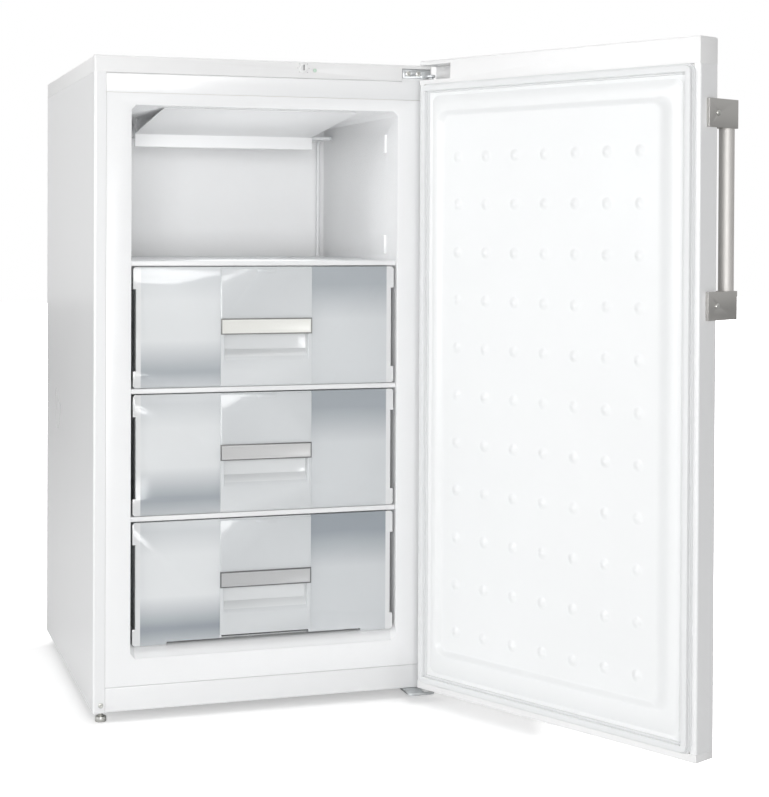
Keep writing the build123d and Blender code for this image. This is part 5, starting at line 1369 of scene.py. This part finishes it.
@dataclass
class DoorLiner(DoorPart):
    """Vacuum-formed liner: a recessed panel with soft slopes and a grid of raised domes."""

    low: Pair = (0.0003, 0.0343)
    high: Pair = (0.5227, 0.9877)
    # behind the inner face and in from the edge, across the rim to its groove
    rim: tuple[Pair, ...] = (
        (0.002, 0.0), (0.0006, 0.0), (0.0, 0.0006), (0.0, 0.018), (0.0004, 0.0186), (0.0004, 0.0192), (0.0, 0.0198),
    )
    rim_corner: Pair = (0.004, 0.4)
    panel_low: Pair = (0.027, 0.081)
    panel_high: Pair = (0.488, 0.946)
    slopes: Pair = (0.010, 0.033)
    slope_steps: int = 12
    corners: Pair = (0.020, 0.014)
    depth: float = 0.008
    columns: int = 7
    rows: int = 11
    domes_low: Pair = (0.0675, 0.123)
    domes_high: Pair = (0.4245, 0.871)
    dome: float = 0.0106
    dome_height: float = 0.0033
    sunk: float = 0.00004

    def rings(self) -> list[list[Point]]:
        """Lays out the rim and the panel's slope.

        Returns:
            Their rings in the door's axes.
        """
        (left, low), (right, high) = self.low, self.high
        radius, grows = self.rim_corner
        flat = []
        for v, inset in self.rim:
            ends = (left + inset, low + inset), (right - inset, high - inset)
            flat.append((v, rounded(*ends, radius + inset * grows, 10)))
        (left, low), (right, high) = self.panel_low, self.panel_high
        narrow, wide = self.slopes
        for n in range(self.slope_steps + 1):
            share = n / self.slope_steps
            drop = self.depth * (0.5 - 0.5 * math.cos(math.pi * share))
            ends = (left + share * narrow, low + share * narrow), (right - share * wide, high - share * narrow)
            radius = self.corners[0] + share * (self.corners[1] - self.corners[0])
            flat.append((drop, rounded(*ends, radius, 10)))
        return [[(u, self.inner + v, z) for u, z in points] for v, points in flat]

    def build(self) -> None:
        """Makes the sheet, grows the domes and joins the two."""
        sheet = Shape().loft(self.rings(), caps=(-1,)).mesh("door_liner_sheet", self.place)
        bm = bmesh.new()
        for mesh in (sheet, self.domes()):
            bm.from_mesh(mesh)
        whole = finished(bm, "door_liner_formed")
        smooth(whole, 60.0)
        self.deliver("door_liner_formed", whole, Look.DOOR_LINER, "door_liner")

    def domes(self) -> bpy.types.Mesh:
        """Grows the raised domes on the panel.

        Returns:
            Their mesh, in place.
        """
        tree = Growth("liner_domes")
        (left, low), (right, high) = self.domes_low, self.domes_high
        radius, height, columns, rows, across, up = tree.sizes(
            Dome_radius=self.dome,
            Dome_height=self.dome_height,
            Columns=self.columns,
            Rows=self.rows,
            Across=right - left,
            Up=high - low,
        )
        values = {"Vertices": 28, "Side Segments": 9, "Radius Top": 0.0, "Radius Bottom": radius, "Depth": height}
        cone = tree.out("GeometryNodeMeshCone", values, fill_type="NONE")
        x, y, _ = tree.split(tree.out("GeometryNodeInputPosition"))
        reach = ((x * x + y * y) ** 0.5 / radius).least(1.0)
        bell = (1.0 + (reach * math.pi).cosine()) * 0.5 * height - self.sunk
        place = tree.out("ShaderNodeCombineXYZ", {0: x, 1: y, 2: bell})
        dome = tree.out("GeometryNodeSetPosition", {"Geometry": cone, "Position": place})
        mesh = tree.mesh(tree.repeated(tree.grid(across, up, columns, rows), dome), Look.DOOR_LINER)
        middle = ((left + right) / 2, self.inner + self.depth, (low + high) / 2)
        mesh.transform(self.place @ Matrix.Translation(middle) @ FORWARD)
        return mesh


@dataclass
class Gasket(DoorPart):
    """Magnetic gasket: a foot in the door's groove, a bellows and a flat sealing bulb."""

    low: Pair = (0.005, 0.040)
    high: Pair = (0.518, 0.981)
    corner: float = 0.0055
    # half of the section: out from its middle, and off the liner
    half: tuple[Pair, ...] = (
        (0.0030, 0.0097), (0.0042, 0.0094), (0.0049, 0.0082), (0.0047, 0.0048), (0.0040, 0.0036),
        (0.0046, 0.0030), (0.0066, 0.0028), (0.0074, 0.0016), (0.0074, 0.0),
    )

    def build(self) -> None:
        """Sweeps the section round the door."""
        rings = []
        for across, height in [(-out, off) for out, off in self.half[::-1]] + list(self.half):
            ends = [end - across for end in self.low], [end + across for end in self.high]
            points = rounded(*ends, max(self.corner + across, 0.0004), 6)
            rings.append([(u, self.inner - height, z) for u, z in points])
        mesh = Shape().loft(rings, closed=True).mesh("gasket_swept", self.place)
        self.deliver("gasket_swept", mesh, Look.GASKET, "door_gasket")


@dataclass
class Handle(DoorPart):
    """Bar handle: a brushed tube between two brackets on the door's free edge."""

    u: float = 0.526
    v: float = 0.058
    z: Pair = (0.653, 0.921)
    radius: float = 0.011
    socket: float = 0.012
    bevel: float = 0.0004
    bracket: float = 0.005
    bracket_edge: float = 0.0007
    screw_v: float = 0.0215
    screw_length: float = 0.0158

    def build(self) -> None:
        """Makes the tube, dresses the brackets and sets the screws."""
        low, high = self.z[0] + self.socket, self.z[1] - self.socket
        r, bevel = self.radius, self.bevel
        at = self.place @ Matrix.Translation((self.u, self.v, 0.0))
        bar = Shape().turned([(r - bevel, low), (r, low + bevel), (r, high - bevel), (r - bevel, high)], at, 72)
        self.deliver("handle_bar", bar, Look.TUBE, "handle_tube")
        for node in ("handle_lower_bracket", "handle_upper_bracket"):
            self.softened(node, Look.BRACKET, self.bracket_edge, 3)
        out = tuple(self.place.to_3x3() @ Vector((1.0, 0.0, 0.0)))
        edge = self.free_edge + self.bracket
        spots = [(tuple(self.place @ Vector((edge, self.screw_v, z))), out) for z in self.z]
        Screws("handle_screw_heads", spots, "handle_screws", Body.DOOR, self.screw_length).build()


# ---------------------------------------------------------------- drawers
@dataclass
class Drawer(Assembly):
    """A clear drawer with its grip strip."""

    number: int
    edge: float = 0.0006
    strip_edge: float = 0.0005

    def build(self) -> None:
        """Dresses the drawer."""
        self.body = Body(f"drawer_{self.number}")
        self.softened(f"drawer_{self.number}_basket", Look.DRAWERS[self.number - 1], self.edge)
        self.softened(f"drawer_{self.number}_handle", Look.STRIPS[self.number - 1], self.strip_edge)


# ---------------------------------------------------------------- studio
@dataclass
class Studio:
    """Pale floor, soft light and the camera."""

    eye: Point = (-0.4098, -3.1667, 0.7604)
    yaw: float = 0.313805
    pitch: float = -0.0117642
    roll: float = 0.0044944
    focal: float = 1725.86
    middle: Pair = (384.5, 247.52)
    image: tuple[int, int] = (769, 797)
    sensor: float = 36.0
    sky: float = 0.22
    sky_gloss: float = 0.55
    floor: float = 0.93
    floor_glow: float = 4.1
    lit: Pair = (0.55, 0.9)
    lit_middle: Pair = (0.1, -0.55)
    # name, place, target, width and height, and power in watts
    lamps: tuple[tuple[str, Point, Point, Pair, float], ...] = (
        ("key_panel", (-0.6, -4.4, 0.95), (0.25, -0.4, 0.6), (1.6, 1.4), 71.0),
        ("side_panel", (-3.2, -0.9, 1.3), (0.2, -0.4, 0.45), (1.8, 1.8), 50.0),
        ("top_panel_light", (0.3, -0.5, 3.4), (0.3, -0.5, 0.0), (2.4, 2.4), 33.0),
        ("compartment_card", (0.24, -0.53, 0.77), (0.24, -0.1, 0.78), (0.22, 0.10), 0.2),
    )

    def build(self) -> None:
        """Makes the floor, the lights and the camera."""
        self.ground()
        self.sky_light()
        for lamp in self.lamps:
            self.panel(*lamp)
        self.camera()

    def ground(self) -> None:
        """A wide pale floor that is white to the camera, but for the soft shadow round the freezer."""
        mesh = bpy.data.meshes.new("floor")
        corners = [(x, y, 0.0) for x, y in box((-14.0, -9.0), (14.0, 14.0))]
        mesh.from_pydata(corners, [], [(0, 1, 2, 3)])
        coating = Coating("studio_floor")
        tone = coating.noise(0.6, 1.0)
        coating.set(Base_Color=coating.tint((self.floor,) * 3, (self.floor + 0.01,) * 3, tone), Roughness=0.85)
        glow = coating.node("ShaderNodeEmission", {"Color": WHITE, "Strength": self.floor_glow})
        x, y, _ = coating.split(coating.place)
        east, north = x - self.lit_middle[0], y - self.lit_middle[1]
        reach = (east * east + north * north) ** 0.5
        seen = coating.ray("Is Camera Ray") * reach.spread(*self.lit, 0.1, 1.0)
        coating.surface(seen, coating.shader, glow, "OUTPUT_MATERIAL")
        mesh.materials.append(coating.material)
        linked("floor", mesh)

    def sky_light(self) -> None:
        """An even sky that is white to the camera and bright in reflections."""
        world = bpy.data.worlds.new("studio")
        world.use_nodes = True
        bpy.context.scene.world = world
        tree = Tree(world.node_tree)
        sky = tree.own("BACKGROUND")
        tree.plug(WHITE, sky.inputs["Color"])
        tree.plug(self.sky, sky.inputs["Strength"])
        white = tree.node("ShaderNodeBackground", {"Color": WHITE, "Strength": 1.0})
        bright = tree.ray("Is Camera Ray").most(tree.ray("Is Glossy Ray") * self.sky_gloss)
        tree.surface(bright, sky, white, "OUTPUT_WORLD")

    @staticmethod
    def panel(name: str, place: Point, target: Point, size: Pair, power: float) -> None:
        """Adds one soft panel lamp.

        Args:
            name: Its name.
            place: Where it hangs.
            target: Where it looks.
            size: Its width and height.
            power: In watts.
        """
        lamp = bpy.data.lights.new(name, "AREA")
        lamp.shape = "RECTANGLE"
        lamp.size, lamp.size_y = size
        lamp.energy = power
        aim = (Vector(target) - Vector(place)).to_track_quat("-Z", "Y")
        linked(name, lamp).matrix_world = Matrix.Translation(place) @ aim.to_matrix().to_4x4()

    def camera(self) -> None:
        """The camera at the photographed angle."""
        lens = bpy.data.cameras.new("camera")
        lens.sensor_fit = "HORIZONTAL"
        lens.sensor_width = self.sensor
        lens.lens = self.focal * self.sensor / self.image[0]
        lens.shift_x = (self.image[0] / 2 - self.middle[0]) / self.image[0]
        lens.shift_y = (self.middle[1] - self.image[1] / 2) / self.image[0]
        lens.clip_end = 60.0
        cos_p, sin_p = math.cos(self.pitch), math.sin(self.pitch)
        ahead = Vector((math.sin(self.yaw) * cos_p, math.cos(self.yaw) * cos_p, sin_p))
        side = Vector((math.cos(self.yaw), -math.sin(self.yaw), 0.0))
        up = side.cross(ahead)
        right = side * math.cos(self.roll) + up * math.sin(self.roll)
        high = up * math.cos(self.roll) - side * math.sin(self.roll)
        made = linked("camera", lens)
        turn = Matrix((right, high, -ahead)).transposed().to_4x4()
        made.matrix_world = Matrix.Translation(self.eye) @ turn
        bpy.context.scene.camera = made


def main() -> None:
    """Builds every sub-assembly in order."""
    logging.basicConfig(level=logging.INFO, format="%(message)s")
    bpy.context.scene.view_settings.view_transform = "Standard"
    assemblies = [Cabinet(), Controls(), Cooling(), Condenser(), Compressor(), Feet(), Hinges()]
    assemblies += [DoorShell(), DoorLiner(), Gasket(), Handle(), *map(Drawer, (1, 2, 3)), Studio()]
    for assembly in assemblies:
        assembly.build()
        log.info("built %s", type(assembly).__name__)


if __name__ == "__main__":
    main()
